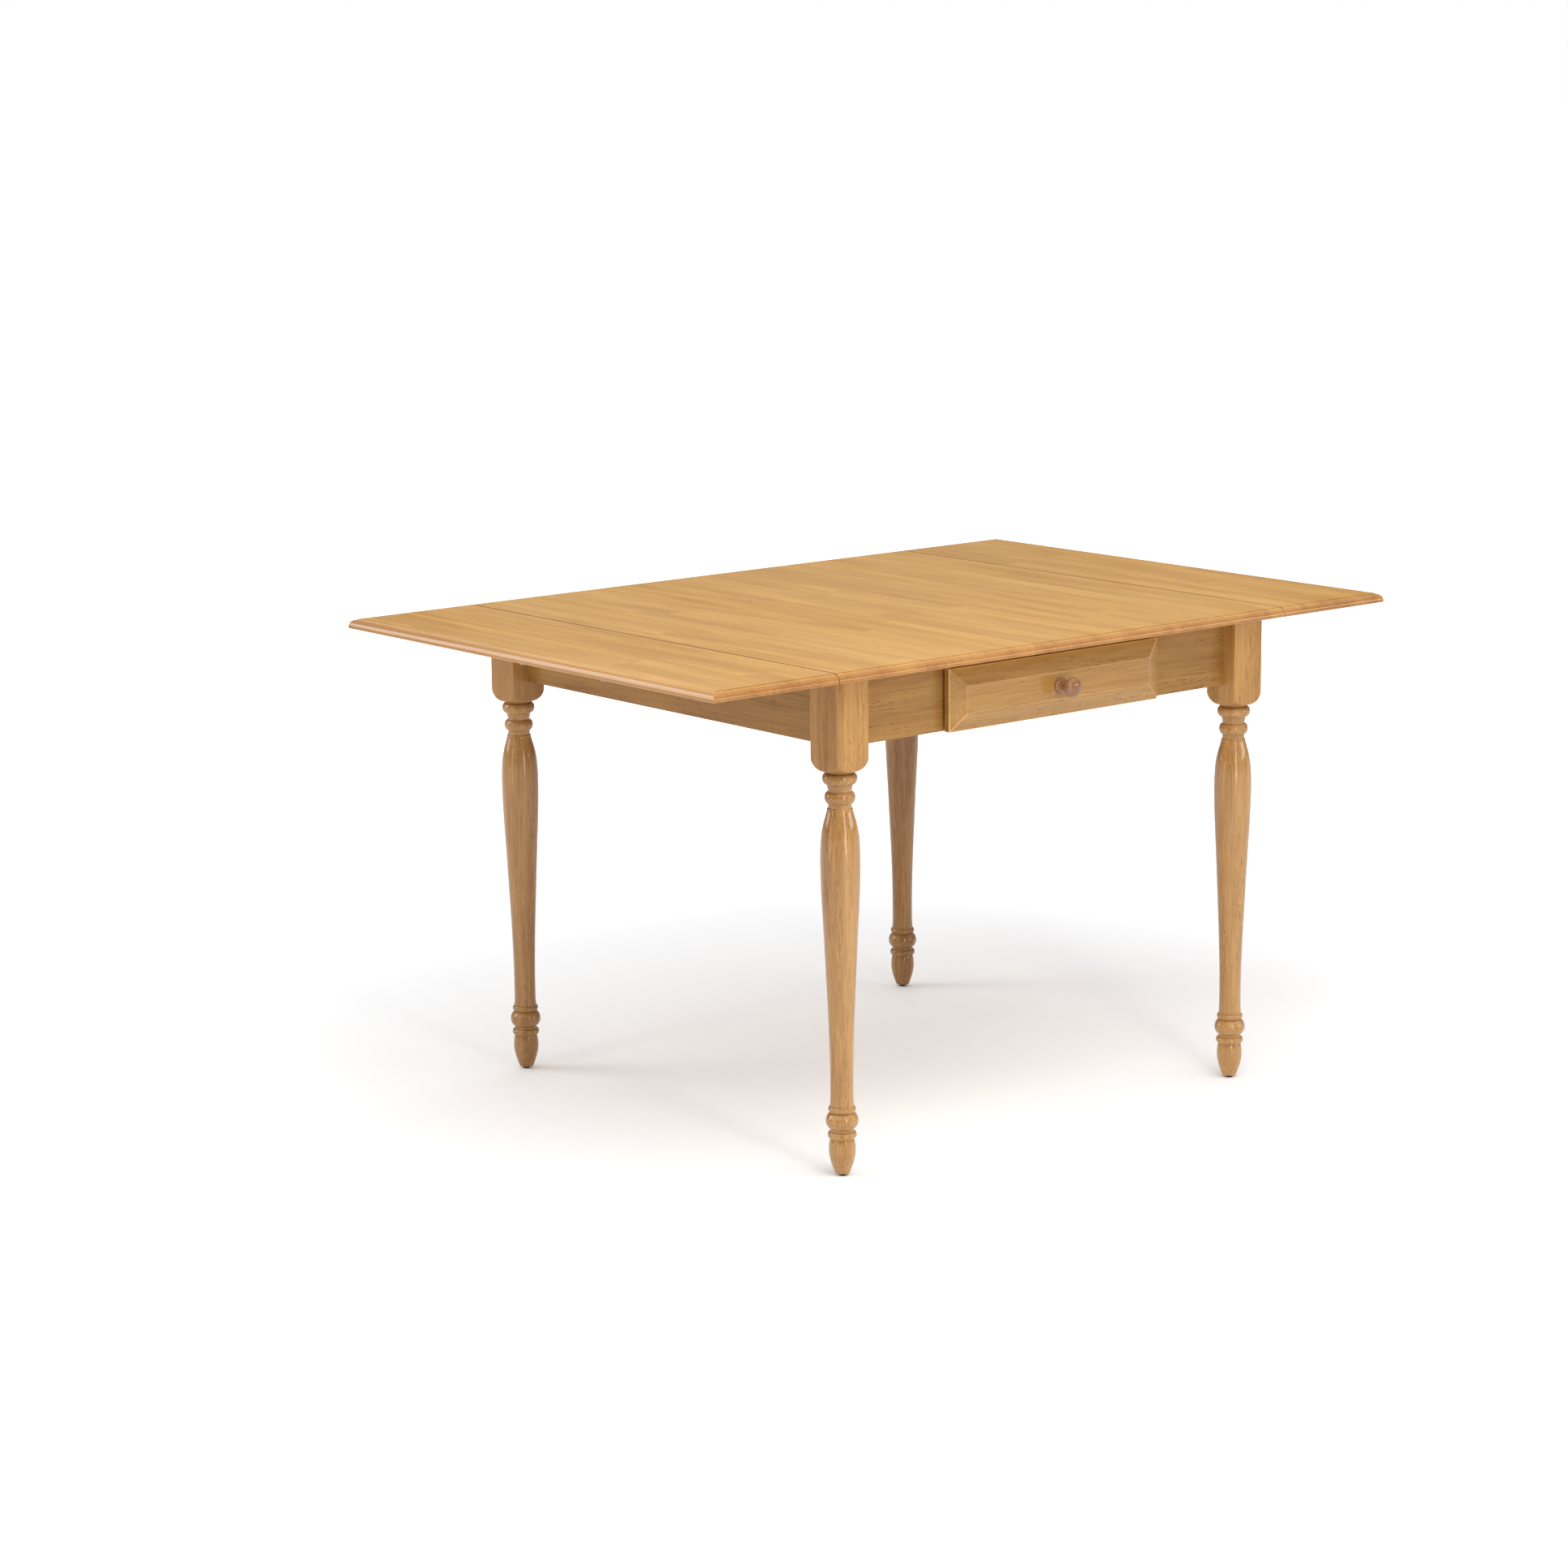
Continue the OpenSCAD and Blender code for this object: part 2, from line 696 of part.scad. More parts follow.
module at_hinges() {
    for (y = hinge_ys) translate([seam_x, y, under_z - hinge_drop]) children();
}

module knuckle(y0, y1, bore) {
    translate([0, y1, 0]) rotate([90, 0, 0]) difference() {
        cylinder(h = y1 - y0, r = knuckle_r);
        translate([0, 0, -1]) cylinder(h = y1 - y0 + 2, r = bore);
    }
}

// Flat plate between two distances from the pin, with its screw holes.
module hinge_plate(x0, x1, holes) {
    difference() {
        translate([x0, -hinge_len / 2, hinge_drop - plate_t])
            cube([x1 - x0, hinge_len, plate_t]);
        for (h = holes) translate([h[0], h[1], hinge_drop - plate_t])
            screw_room(hinge_screw_l);
    }
}

// Strip that joins a plate to one of its knuckles, cut clear of the pin.
module tongue(x0, x1, y0, y1, bore) {
    difference() {
        translate([x0, y0, hinge_drop - plate_t])
            cube([x1 - x0, y1 - y0, knuckle_r - hinge_drop + plate_t]);
        translate([0, y1 + 1, 0]) rotate([90, 0, 0]) cylinder(h = y1 - y0 + 2, r = bore);
    }
}

module fixed_hinge_plate() {
    half = hinge_len / 2;
    inner = mid_knuckle / 2 + knuckle_gap;
    union() {
        hinge_plate(-fixed_plate_l, -plate_in, fixed_holes);
        for (s = side_of) {
            y0 = s > 0 ? inner : -half;
            y1 = s > 0 ? half : -inner;
            knuckle(y0, y1, pin_r + set_gap);
            tongue(-plate_in - 0.01, 0, y0, y1, pin_r + set_gap);
        }
    }
}

module moving_hinge_plate() {
    y1 = mid_knuckle / 2;
    union() {
        hinge_plate(plate_in, moving_plate_l, moving_holes);
        knuckle(-y1, y1, pin_r + run_gap);
        tongue(0, plate_in + 0.01, -y1, y1, pin_r + run_gap);
    }
}

module hinge_pin() {
    half = hinge_len / 2;
    rotate([90, 0, 0]) union() {
        cylinder(h = hinge_len + 0.2, r = pin_r, center = true);
        for (s = [0, 180]) rotate([s, 0, 0]) translate([0, 0, half + 0.05])
            cylinder(h = 1, r1 = pin_r + 0.8, r2 = pin_r);
    }
}

module hinge_fixed_plates() {
    color(steel) for (s = side_of) mirror([s > 0 ? 0 : 1, 0, 0]) at_hinges()
        fixed_hinge_plate();
}

module hinge_pins() {
    color(steel) for (s = side_of) mirror([s > 0 ? 0 : 1, 0, 0]) at_hinges() hinge_pin();
}

module left_hinge_plates() {
    color(steel) mirror([1, 0, 0]) at_hinges() moving_hinge_plate();
}
module right_hinge_plates() { color(steel) at_hinges() moving_hinge_plate(); }

// ---- Folding stays. Local frame as the hinges; +Y is across the flat bars.
// The short link turns on the apron bracket, the long arm on the leaf plate, and the
// link's knee pin slides in the arm's slot.
stay_t = 2.5;
stay_gap = 0.3;
link_at = [-24, -57];
link_l = 39;
link_rest = 40.4;
arm_at = [150, -12];
arm_rest = -172.07;
link_w = 12.8;
arm_w = 13.2;
eye_more = 0.6;
ear_r = 8;
stud_r = 3;
stud_head_r = 4.6;
stud_head_t = 1.3;
knee_r = 2.5;
slot_half = 3.3;
slot_end_r = 3.5;
slot_near = 128.5;
slot_far = 145.8;
base_w = 24;
bracket_half = 13;
bracket_screw_off = 8;
plate_half = 20;
plate_screw_off = 13;
stay_screw_l = 12;
link_y = stay_t + stay_gap;
arm_y = 2 * (stay_t + stay_gap);
ear_y = 3 * (stay_t + stay_gap);
face_x = end_face_x - seam_x;

module at_one_stay(s) {
    mirror([0, s > 0 ? 1 : 0, 0]) translate([seam_x, -stay_off, under_z - hinge_drop])
        children();
}
module at_stays() { for (s = side_of) at_one_stay(s) children(); }

// Disc across the bars at a point of the local X-Z plane, from y0 to y1.
module disc(at, r, y0, y1) {
    translate([at[0], y1, at[1]]) rotate([90, 0, 0]) cylinder(h = y1 - y0, r = r);
}

// Screw places: apron bracket (driven towards the apron) and leaf plate (driven up).
module apron_bracket_screws() {
    for (z = [-bracket_screw_off, bracket_screw_off])
        translate([face_x + stay_t, -base_w / 2 + stay_t, link_at[1] + z])
            rotate([0, -90, 0]) children();
}
module leaf_plate_screws() {
    for (x = [-plate_screw_off, plate_screw_off])
        translate([arm_at[0] + x, ear_y + base_w / 2, hinge_drop - stay_t]) children();
}

module apron_bracket() {
    difference() {
        union() {
            translate([face_x, stay_t - base_w, link_at[1] - bracket_half])
                cube([stay_t, base_w, 2 * bracket_half]);
            translate([face_x, 0, link_at[1] - ear_r])
                cube([link_at[0] - face_x, stay_t, 2 * ear_r]);
            disc(link_at, ear_r, 0, stay_t);
            disc(link_at, stud_r, stay_t - 0.5, link_y + stay_t + stay_gap + 0.1);
            disc(link_at, stud_head_r, link_y + stay_t + stay_gap,
                link_y + stay_t + stay_gap + stud_head_t);
        }
        apron_bracket_screws() screw_room(stay_screw_l);
    }
}

module leaf_plate() {
    difference() {
        union() {
            translate([arm_at[0] - plate_half, ear_y, hinge_drop - stay_t])
                cube([2 * plate_half, base_w, stay_t]);
            translate([arm_at[0] - ear_r, ear_y, arm_at[1]])
                cube([2 * ear_r, stay_t, hinge_drop - arm_at[1]]);
            disc(arm_at, ear_r, ear_y, ear_y + stay_t);
            disc(arm_at, stud_r, arm_y - stay_gap - 0.1, ear_y + 0.5);
            disc(arm_at, stud_head_r, arm_y - stay_gap - stud_head_t, arm_y - stay_gap);
        }
        leaf_plate_screws() screw_room(stay_screw_l);
    }
}

// Outline of a flat bar along +X with a slightly wider round eye at both ends.
module bar_outline(len, w) {
    circle(r = w / 2 + eye_more);
    translate([0, -w / 2]) square([len, w]);
    translate([len, 0]) circle(r = w / 2 + eye_more);
}

// Lays a flat piece, drawn along +X and thick along +Z, across the stay at a pivot.
module across(at, turn, y0) {
    translate([at[0], y0, at[1]]) rotate([90, 0, 0]) rotate([0, 0, turn]) mirror([0, 0, 1])
        children();
}

module stay_link() {
    knee_top = arm_y + stay_t + stay_gap - link_y;
    color(steel) across(link_at, link_rest, link_y) union() {
        linear_extrude(stay_t) difference() {
            bar_outline(link_l, link_w);
            circle(r = stud_r + run_gap);
        }
        translate([link_l, 0, stay_t - 0.5]) cylinder(h = knee_top - stay_t + 0.6, r = knee_r);
        translate([link_l, 0, knee_top]) cylinder(h = stud_head_t, r = stud_head_r);
    }
}

module stay_arm() {
    color(steel) across(arm_at, arm_rest, arm_y) linear_extrude(stay_t) difference() {
        bar_outline(slot_far, arm_w);
        circle(r = stud_r + run_gap);
        translate([slot_near, 0]) circle(r = slot_end_r);
        translate([slot_far, 0]) circle(r = slot_end_r);
        translate([slot_near, -slot_half]) square([slot_far - slot_near, 2 * slot_half]);
    }
}

module stay_brackets() {
    color(steel) for (s = side_of) mirror([s > 0 ? 0 : 1, 0, 0]) at_stays() apron_bracket();
}
module left_stay_plates() { color(steel) mirror([1, 0, 0]) at_stays() leaf_plate(); }
module right_stay_plates() { color(steel) at_stays() leaf_plate(); }

// Screws of the hinges' fixed plates and of the apron brackets.
module frame_fitting_screws() {
    color(steel) for (s = side_of) mirror([s > 0 ? 0 : 1, 0, 0]) {
        at_hinges() for (h = fixed_holes)
            translate([h[0], h[1], hinge_drop - plate_t]) wood_screw(hinge_screw_l);
        at_stays() apron_bracket_screws() wood_screw(stay_screw_l);
    }
}

// Screws of one leaf's hinge plates and stay plates.
module leaf_screws() {
    at_hinges() for (h = moving_holes)
        translate([h[0], h[1], hinge_drop - plate_t]) wood_screw(hinge_screw_l);
    at_stays() leaf_plate_screws() wood_screw(stay_screw_l);
}
module left_leaf_screws() { color(steel) mirror([1, 0, 0]) leaf_screws(); }
module right_leaf_screws() { color(steel) leaf_screws(); }

module left_front_link() { mirror([1, 0, 0]) at_one_stay(-1) stay_link(); }
module left_front_arm() { mirror([1, 0, 0]) at_one_stay(-1) stay_arm(); }
module left_back_link() { mirror([1, 0, 0]) at_one_stay(1) stay_link(); }
module left_back_arm() { mirror([1, 0, 0]) at_one_stay(1) stay_arm(); }
module right_front_link() { at_one_stay(-1) stay_link(); }
module right_front_arm() { at_one_stay(-1) stay_arm(); }
module right_back_link() { at_one_stay(1) stay_link(); }
module right_back_arm() { at_one_stay(1) stay_arm(); }

top_centre();
left_leaf_board();
right_leaf_board();
front_left_leg();
front_right_leg();
back_left_leg();
back_right_leg();
leg_glides();
left_apron();
right_apron();
back_apron();
front_apron_left();
front_apron_right();
upper_drawer_rail();
lower_drawer_rail();
rail_dowels();
front_left_brace();
front_right_brace();
back_left_brace();
back_right_brace();
hanger_bolts();
bolt_washers();
bolt_nuts();
brace_screws();
left_cleat();
right_cleat();
back_cleat();
top_screws();
left_runner();
right_runner();
runner_strips();
drawer_stops();
drawer_front();
box_front();
box_left_side();
box_right_side();
box_back();
box_bottom();
drawer_knob();
knob_screw();
drawer_front_screws();
hinge_fixed_plates();
hinge_pins();
stay_brackets();
frame_fitting_screws();
left_hinge_plates();
right_hinge_plates();
left_stay_plates();
right_stay_plates();
left_leaf_screws();
right_leaf_screws();
left_front_link();
left_front_arm();
left_back_link();
left_back_arm();
right_front_link();
right_front_arm();
right_back_link();
right_back_arm();
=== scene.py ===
import math
import bmesh
import bpy
from mathutils import Matrix, Vector


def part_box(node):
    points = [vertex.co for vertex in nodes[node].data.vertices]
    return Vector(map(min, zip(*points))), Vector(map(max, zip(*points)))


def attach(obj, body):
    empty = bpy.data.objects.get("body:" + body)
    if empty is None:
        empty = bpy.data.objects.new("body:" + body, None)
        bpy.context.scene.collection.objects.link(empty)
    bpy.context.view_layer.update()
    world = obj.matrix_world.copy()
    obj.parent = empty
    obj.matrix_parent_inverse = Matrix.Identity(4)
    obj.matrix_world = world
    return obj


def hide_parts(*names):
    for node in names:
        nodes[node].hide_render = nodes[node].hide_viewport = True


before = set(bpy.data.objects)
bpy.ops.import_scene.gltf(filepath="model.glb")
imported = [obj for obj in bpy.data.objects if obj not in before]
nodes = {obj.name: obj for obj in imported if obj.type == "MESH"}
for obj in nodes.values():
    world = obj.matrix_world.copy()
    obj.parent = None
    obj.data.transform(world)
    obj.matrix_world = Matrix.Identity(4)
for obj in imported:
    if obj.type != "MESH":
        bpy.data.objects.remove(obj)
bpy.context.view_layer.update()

# ---- Legs
# Four rubberwood legs, each turned from one square blank: the top stays a square block whose
# lower end is rounded by the lathe, then two beads, a long vase, two rings with a ball, a peg.
# Stained honey and sprayed with clear lacquer; hanger bolts hold each block to its brace.


def group_of(name, inputs, outputs):
    """Empty shader group with named sockets; inputs give their kind and first value."""
    tree = bpy.data.node_groups.new(name, "ShaderNodeTree")
    for label, kind, value in inputs:
        socket = tree.interface.new_socket(label, in_out="INPUT", socket_type="NodeSocket" + kind)
        if value is not None:
            socket.default_value = value
    for label, kind in outputs:
        tree.interface.new_socket(label, in_out="OUTPUT", socket_type="NodeSocket" + kind)
    return tree, tree.nodes.new("NodeGroupInput"), tree.nodes.new("NodeGroupOutput")


def put(tree, kind, settings=None, **wires):
    """Adds a node, sets its properties and links or sets its inputs by position."""
    node = tree.nodes.new("ShaderNode" + kind)
    for key, value in (settings or {}).items():
        setattr(node, key, value)
    for key, value in wires.items():
        socket = node.inputs[int(key[1:])]
        if isinstance(value, bpy.types.NodeSocket):
            tree.links.new(value, socket)
        else:
            socket.default_value = value
    return node


def maths(tree, how, a, b=0.0, c=0.0):
    return put(tree, "Math", {"operation": how}, i0=a, i1=b, i2=c).outputs[0]


def stretched(tree, place, along, across, depth=None):
    """Place scaled for a pattern drawn out along X, the way of the grain."""
    sizes = (along, across, across if depth is None else depth)
    return put(tree, "VectorMath", {"operation": "MULTIPLY"}, i0=place, i1=sizes).outputs[0]


def noise(tree, place, scale, detail=2.0, rough=0.5, twist=0.0):
    return put(tree, "TexNoise", None, i0=place, i2=scale, i3=detail, i4=rough, i8=twist).outputs[0]


def spread(tree, value, low, high, to_low=0.0, to_high=1.0):
    """Value stretched from one range to another, smoothly and clamped."""
    return put(tree, "MapRange", {"interpolation_type": "SMOOTHSTEP"},
               i0=value, i1=low, i2=high, i3=to_low, i4=to_high).outputs[0]


def tint(tree, how, share, under, over):
    """Mixes two colours; share, under and over may be links."""
    node = tree.nodes.new("ShaderNodeMix")
    node.data_type = "RGBA"
    node.blend_type = how
    for index, value in ((0, share), (6, under), (7, over)):
        if isinstance(value, bpy.types.NodeSocket):
            tree.links.new(value, node.inputs[index])
        else:
            node.inputs[index].default_value = value
    return node.outputs[2]


# Solid wood: staves glued edge to edge, each of its own tone, with a soft figure, fine
# fibres and short dark pores. The pattern fills the wood, so end grain shows as specks.
wood, given, made = group_of("rubberwood", [
    ("Place", "Vector", None), ("Face", "Vector", None),
    ("Light", "Color", (0.6, 0.4, 0.2, 1)), ("Dark", "Color", (0.4, 0.2, 0.1, 1)),
    ("Stave width", "Float", 0.07), ("Stave length", "Float", 0.35),
    ("Stave tone", "Float", 0.3), ("Figure", "Float", 0.5), ("Fibres", "Float", 0.4),
    ("Pores", "Float", 0.5), ("Gloss", "Float", 0.3),
], [("Color", "Color"), ("Roughness", "Float"), ("Height", "Float")])
value_of = {s.name: s for s in given.outputs}
place = value_of["Place"]
drift = noise(wood, stretched(wood, place, 2.2, 7.0), 1.0, 2.0)
apart = put(wood, "SeparateXYZ", None, i0=place)
row = maths(wood, "FLOOR", maths(wood, "DIVIDE", apart.outputs[1], value_of["Stave width"]))
row_chance = put(wood, "TexWhiteNoise", {"noise_dimensions": "1D"}, i1=row)
run = maths(wood, "ADD", maths(wood, "DIVIDE", apart.outputs[0], value_of["Stave length"]),
            maths(wood, "MULTIPLY", row_chance.outputs[0], 3.7))
block = maths(wood, "FLOOR", run)
cell = put(wood, "CombineXYZ", None, i0=row, i1=block)
chance = put(wood, "TexWhiteNoise", {"noise_dimensions": "2D"}, i0=cell.outputs[0])
moved = put(wood, "VectorMath", {"operation": "MULTIPLY_ADD"}, i0=chance.outputs[1],
            i1=(0.9, 0.5, 0.4), i2=place).outputs[0]
figure = noise(wood, stretched(wood, moved, 1.6, 17.0), 1.0, 3.0, 0.55, 0.7)
bands = noise(wood, stretched(wood, moved, 3.5, 75.0), 1.0, 3.0, 0.6, 0.3)
fibres = noise(wood, stretched(wood, moved, 14.0, 520.0), 1.0, 2.0, 0.6)
pores = noise(wood, stretched(wood, moved, 75.0, 760.0), 1.0, 1.0, 0.5)
pore_mask = maths(wood, "MULTIPLY", spread(wood, pores, 0.60, 0.72), value_of["Pores"])
clumps = spread(wood, noise(wood, stretched(wood, moved, 6.0, 60.0), 1.0, 2.0), 0.35, 0.65)
pore_mask = maths(wood, "MULTIPLY", pore_mask, clumps)
tone = maths(wood, "MULTIPLY", maths(wood, "SUBTRACT", chance.outputs[0], 0.5),
             value_of["Stave tone"])
soft = maths(wood, "MULTIPLY", maths(wood, "SUBTRACT", figure, 0.5), value_of["Figure"])
fine = maths(wood, "MULTIPLY", maths(wood, "SUBTRACT", bands, 0.5),
             maths(wood, "MULTIPLY", value_of["Figure"], 0.62))
thin = maths(wood, "MULTIPLY", maths(wood, "SUBTRACT", fibres, 0.5), value_of["Fibres"])
cloud = maths(wood, "MULTIPLY", maths(wood, "SUBTRACT", drift, 0.5), 0.5)
depth = maths(wood, "ADD", maths(wood, "ADD", tone, soft), maths(wood, "ADD", fine, thin))
depth = maths(wood, "ADD", maths(wood, "ADD", depth, cloud), 0.42)
# Grain that runs out at a cut end drinks more stain.
facing = put(wood, "SeparateXYZ", None, i0=value_of["Face"])
end_grain = spread(wood, maths(wood, "ABSOLUTE", facing.outputs[0]), 0.55, 1.0, 0.0, 0.22)
depth = maths(wood, "ADD", depth, end_grain)
depth = put(wood, "Clamp", None, i0=depth).outputs[0]
toned = tint(wood, "MIX", depth, value_of["Light"], value_of["Dark"])
specked = tint(wood, "MULTIPLY", maths(wood, "MULTIPLY", pore_mask, 0.7), toned,
               (0.42, 0.27, 0.16, 1))
wood.links.new(specked, made.inputs["Color"])
uneven = maths(wood, "MULTIPLY", maths(wood, "SUBTRACT", drift, 0.5), 0.22)
wood.links.new(maths(wood, "ADD", value_of["Gloss"],
                     maths(wood, "ADD", uneven, maths(wood, "MULTIPLY", pore_mask, 0.1))),
               made.inputs["Roughness"])
wood.links.new(maths(wood, "SUBTRACT", maths(wood, "MULTIPLY", fibres, 0.25), pore_mask),
               made.inputs["Height"])

# Edges a little paler than the faces beside them: partly stain thinned by sanding, partly a painted
# highlight along the arrises.
worn_and_highlit, given, made = group_of("thinned_and_highlit_edges", [
    ("Color", "Color", (0.5, 0.3, 0.2, 1)), ("Width", "Float", 0.001),
    ("Amount", "Float", 0.3), ("Full turn", "Float", 0.82), ("Place", "Vector", None),
    ("Bare and highlight", "Color", (0.8, 0.6, 0.4, 1)),
], [("Color", "Color"), ("Mask", "Float")])
value_of = {s.name: s for s in given.outputs}
rounded = put(worn_and_highlit, "Bevel", {"samples": 4}, i0=value_of["Width"])
flat = put(worn_and_highlit, "NewGeometry")
turn = put(worn_and_highlit, "VectorMath", {"operation": "DOT_PRODUCT"}, i0=rounded.outputs[0],
           i1=flat.outputs[1]).outputs[1]
patchy = spread(worn_and_highlit, noise(worn_and_highlit, value_of["Place"], 34.0, 3.0, 0.6), 0.3, 0.7, 0.25, 1.0)
mask = maths(worn_and_highlit, "MULTIPLY", spread(worn_and_highlit, turn, 0.997, value_of["Full turn"]),
             maths(worn_and_highlit, "MULTIPLY", patchy, value_of["Amount"]))
worn_and_highlit.links.new(tint(worn_and_highlit, "MIX", mask, value_of["Color"], value_of["Bare and highlight"]),
               made.inputs["Color"])
worn_and_highlit.links.new(mask, made.inputs["Mask"])


def wooden(name, light, dark, turn_to_grain, stave=(5.0, 5.0, 0.0), figure=0.5, fibres=0.4,
           pores=0.5, gloss=0.34, lacquer=0.7, lacquer_gloss=0.16, routed=False,
           edge=0.3, edge_wide=0.0016, full_turn=0.82, bare_and_highlight=1.4, shine=0.15, relief=0.00012,
           burnished_to=None):
    """Stained and lacquered wood whose grain runs along the axis that the turn lays on X."""
    paint = bpy.data.materials.new(name)
    paint.use_nodes = True
    tree = paint.node_tree
    shader = tree.nodes["Principled BSDF"]
    where = tree.nodes.new("ShaderNodeTexCoord")
    laid = put(tree, "Mapping", {"vector_type": "POINT"}, i0=where.outputs[3])
    laid.inputs["Rotation"].default_value = turn_to_grain
    laid.inputs["Location"].default_value = (1.7, 2.3, 0.9)
    faced = put(tree, "Mapping", {"vector_type": "VECTOR"}, i0=where.outputs[1])
    faced.inputs["Rotation"].default_value = turn_to_grain
    grain = tree.nodes.new("ShaderNodeGroup")
    grain.node_tree = bpy.data.node_groups["rubberwood"]
    tree.links.new(laid.outputs[0], grain.inputs["Place"])
    tree.links.new(faced.outputs[0], grain.inputs["Face"])
    for label, value in (("Light", light), ("Dark", dark), ("Stave width", stave[0]),
                         ("Stave length", stave[1]), ("Stave tone", stave[2]),
                         ("Figure", figure), ("Fibres", fibres), ("Pores", pores),
                         ("Gloss", gloss)):
        grain.inputs[label].default_value = value
    rim = tree.nodes.new("ShaderNodeGroup")
    rim.node_tree = bpy.data.node_groups["thinned_and_highlit_edges"]
    rim.inputs["Width"].default_value = edge_wide
    rim.inputs["Full turn"].default_value = full_turn
    rim.inputs["Amount"].default_value = edge
    rim.inputs["Bare and highlight"].default_value = [min(1.0, c * bare_and_highlight) for c in light[:3]] + [1]
    tree.links.new(grain.outputs["Color"], rim.inputs["Color"])
    tree.links.new(laid.outputs[0], rim.inputs["Place"])
    tree.links.new(rim.outputs["Color"], shader.inputs["Base Color"])
    tree.links.new(grain.outputs["Roughness"], shader.inputs["Roughness"])
    bump = put(tree, "Bump")
    bump.inputs["Strength"].default_value = 0.35
    bump.inputs["Distance"].default_value = relief
    tree.links.new(grain.outputs["Height"], bump.inputs["Height"])
    tree.links.new(bump.outputs[0], shader.inputs["Normal"])
    shader.inputs["Coat Weight"].default_value = lacquer
    if burnished_to is not None:
        height = put(tree, "SeparateXYZ", None, i0=where.outputs[3]).outputs[2]
        tree.links.new(spread(tree, height, burnished_to, burnished_to + 0.006, lacquer,
                              lacquer * 0.35), shader.inputs["Coat Weight"])
    if routed:
        upright = put(tree, "SeparateXYZ", None, i0=where.outputs[1])
        level = maths(tree, "ABSOLUTE", upright.outputs[2])
        # On routed tops the sides that aren't level, the routed rim and the ends, are painted darker
        # than the flat top and get a heavier coat.
        on_side = spread(tree, level, 0.97, 0.86)
        tree.links.new(spread(tree, level, 0.97, 0.86, lacquer, 1.0),
                       shader.inputs["Coat Weight"])
        beside = put(tree, "SeparateXYZ", None, i0=where.outputs[3])
        # A thin painted shade darkens the top faces along each seam between the panels.
        off_seam = maths(tree, "ABSOLUTE", maths(
            tree, "SUBTRACT", maths(tree, "ABSOLUTE", beside.outputs[0]), SEAM_X))
        seam_shade = maths(tree, "MULTIPLY", spread(tree, off_seam, 0.0026, 0.0014),
                        maths(tree, "SUBTRACT", 1.0, on_side))
        toned = tint(tree, "MULTIPLY", on_side, rim.outputs["Color"], SIDE_DARKENING)
        toned = tint(tree, "MULTIPLY", seam_shade, toned, SEAM_SHADE)
        tree.links.new(toned, shader.inputs["Base Color"])
    shader.inputs["Coat Roughness"].default_value = lacquer_gloss
    shader.inputs["Coat IOR"].default_value = 1.5
    shader.inputs["Specular IOR Level"].default_value = shine
    return paint


ALONG_X = (0.0, 0.0, 0.0)
ALONG_Y = (0.0, 0.0, math.radians(-90))
ALONG_Z = (0.0, math.radians(90), 0.0)


def finished(name, mesh_maker, paint, smooth_under=32.0):
    """Turns a bmesh into a finished piece at the origin, smooth but for its real edges."""
    mesh = bpy.data.meshes.new(name)
    mesh_maker.to_mesh(mesh)
    mesh_maker.free()
    mesh.shade_smooth()
    mesh.set_sharp_from_angle(angle=math.radians(smooth_under))
    piece = bpy.data.objects.new(name, mesh)
    piece.data.materials.append(paint)
    bpy.context.scene.collection.objects.link(piece)
    level = piece.modifiers.new("flat_faces_stay_flat", "WEIGHTED_NORMAL")
    level.mode = "FACE_AREA"
    level.weight = 60
    level.keep_sharp = True
    return piece


def smooth_line(points, steps):
    """Points of a flowing line through the given ones."""
    line = []
    last = len(points) - 1
    for i in range(last):
        p = [Vector(points[max(0, min(last, i + k))]) for k in (-1, 0, 1, 2)]
        for step in range(steps):
            t = step / steps
            line.append(0.5 * (2 * p[1] + (p[2] - p[0]) * t
                               + (2 * p[0] - 5 * p[1] + 4 * p[2] - p[3]) * t * t
                               + (3 * p[1] - p[0] - 3 * p[2] + p[3]) * t ** 3))
    line.append(Vector(points[last]))
    return line


def rounded_band(middle, half, edge_r, full_r, power, steps):
    """Side of a bead, ring or ball as the turner's gouge leaves it."""
    band = []
    for i in range(-steps, steps + 1):
        lean = math.sin(i / steps * math.pi / 2)
        band.append((edge_r + (full_r - edge_r) * (1 - lean * lean) ** power,
                     middle + half * lean))
    return band


def turned(line, steps=96):
    """Solid spun from a line of (radius, height) in millimetres that starts and ends at 0."""
    blank = bmesh.new()
    ring = [blank.verts.new((r / 1000, 0, z / 1000)) for r, z in line]
    edges = [blank.edges.new(pair) for pair in zip(ring, ring[1:])]
    bmesh.ops.spin(blank, geom=ring + edges, cent=(0, 0, 0), axis=(0, 0, 1),
                   angle=math.tau, steps=steps, use_merge=True)
    bmesh.ops.remove_doubles(blank, verts=blank.verts, dist=1e-6)
    bmesh.ops.recalc_face_normals(blank, faces=blank.faces)
    return blank


UNDER_Z = 747.0
LEG_HALF = 30.0
BLOCK_Z = 608.0
LEG_CENTRE = (0.4072, 0.3972)
VASE = [(17.0, 120.0), (17.25, 171.5), (19.0, 231.7), (21.75, 291.8), (25.0, 360.7),
        (28.3, 425.0), (29.5, 467.9), (29.15, 493.7), (27.7, 513.0), (25.0, 528.0),
        (21.5, 540.8), (19.2, 549.4)]
leg_line = [(0, 3.0), (9.3, 3.0), (11.2, 3.8), (11.5, 4.6)]
leg_line += [(11.5 + 8.5 * math.sin(math.radians(7.5 * i)), 4.6 + 35.4 * i / 12)
             for i in range(1, 13)]
leg_line += [(20 - 1.5 * (i / 5) ** 2, 40 + 14 * i / 5) for i in range(1, 6)]
leg_line += rounded_band(62.0, 5.5, 17.5, 21.5, 0.55, 8)
leg_line += rounded_band(83.5, 12.5, 17.5, 24.3, 0.8, 12)
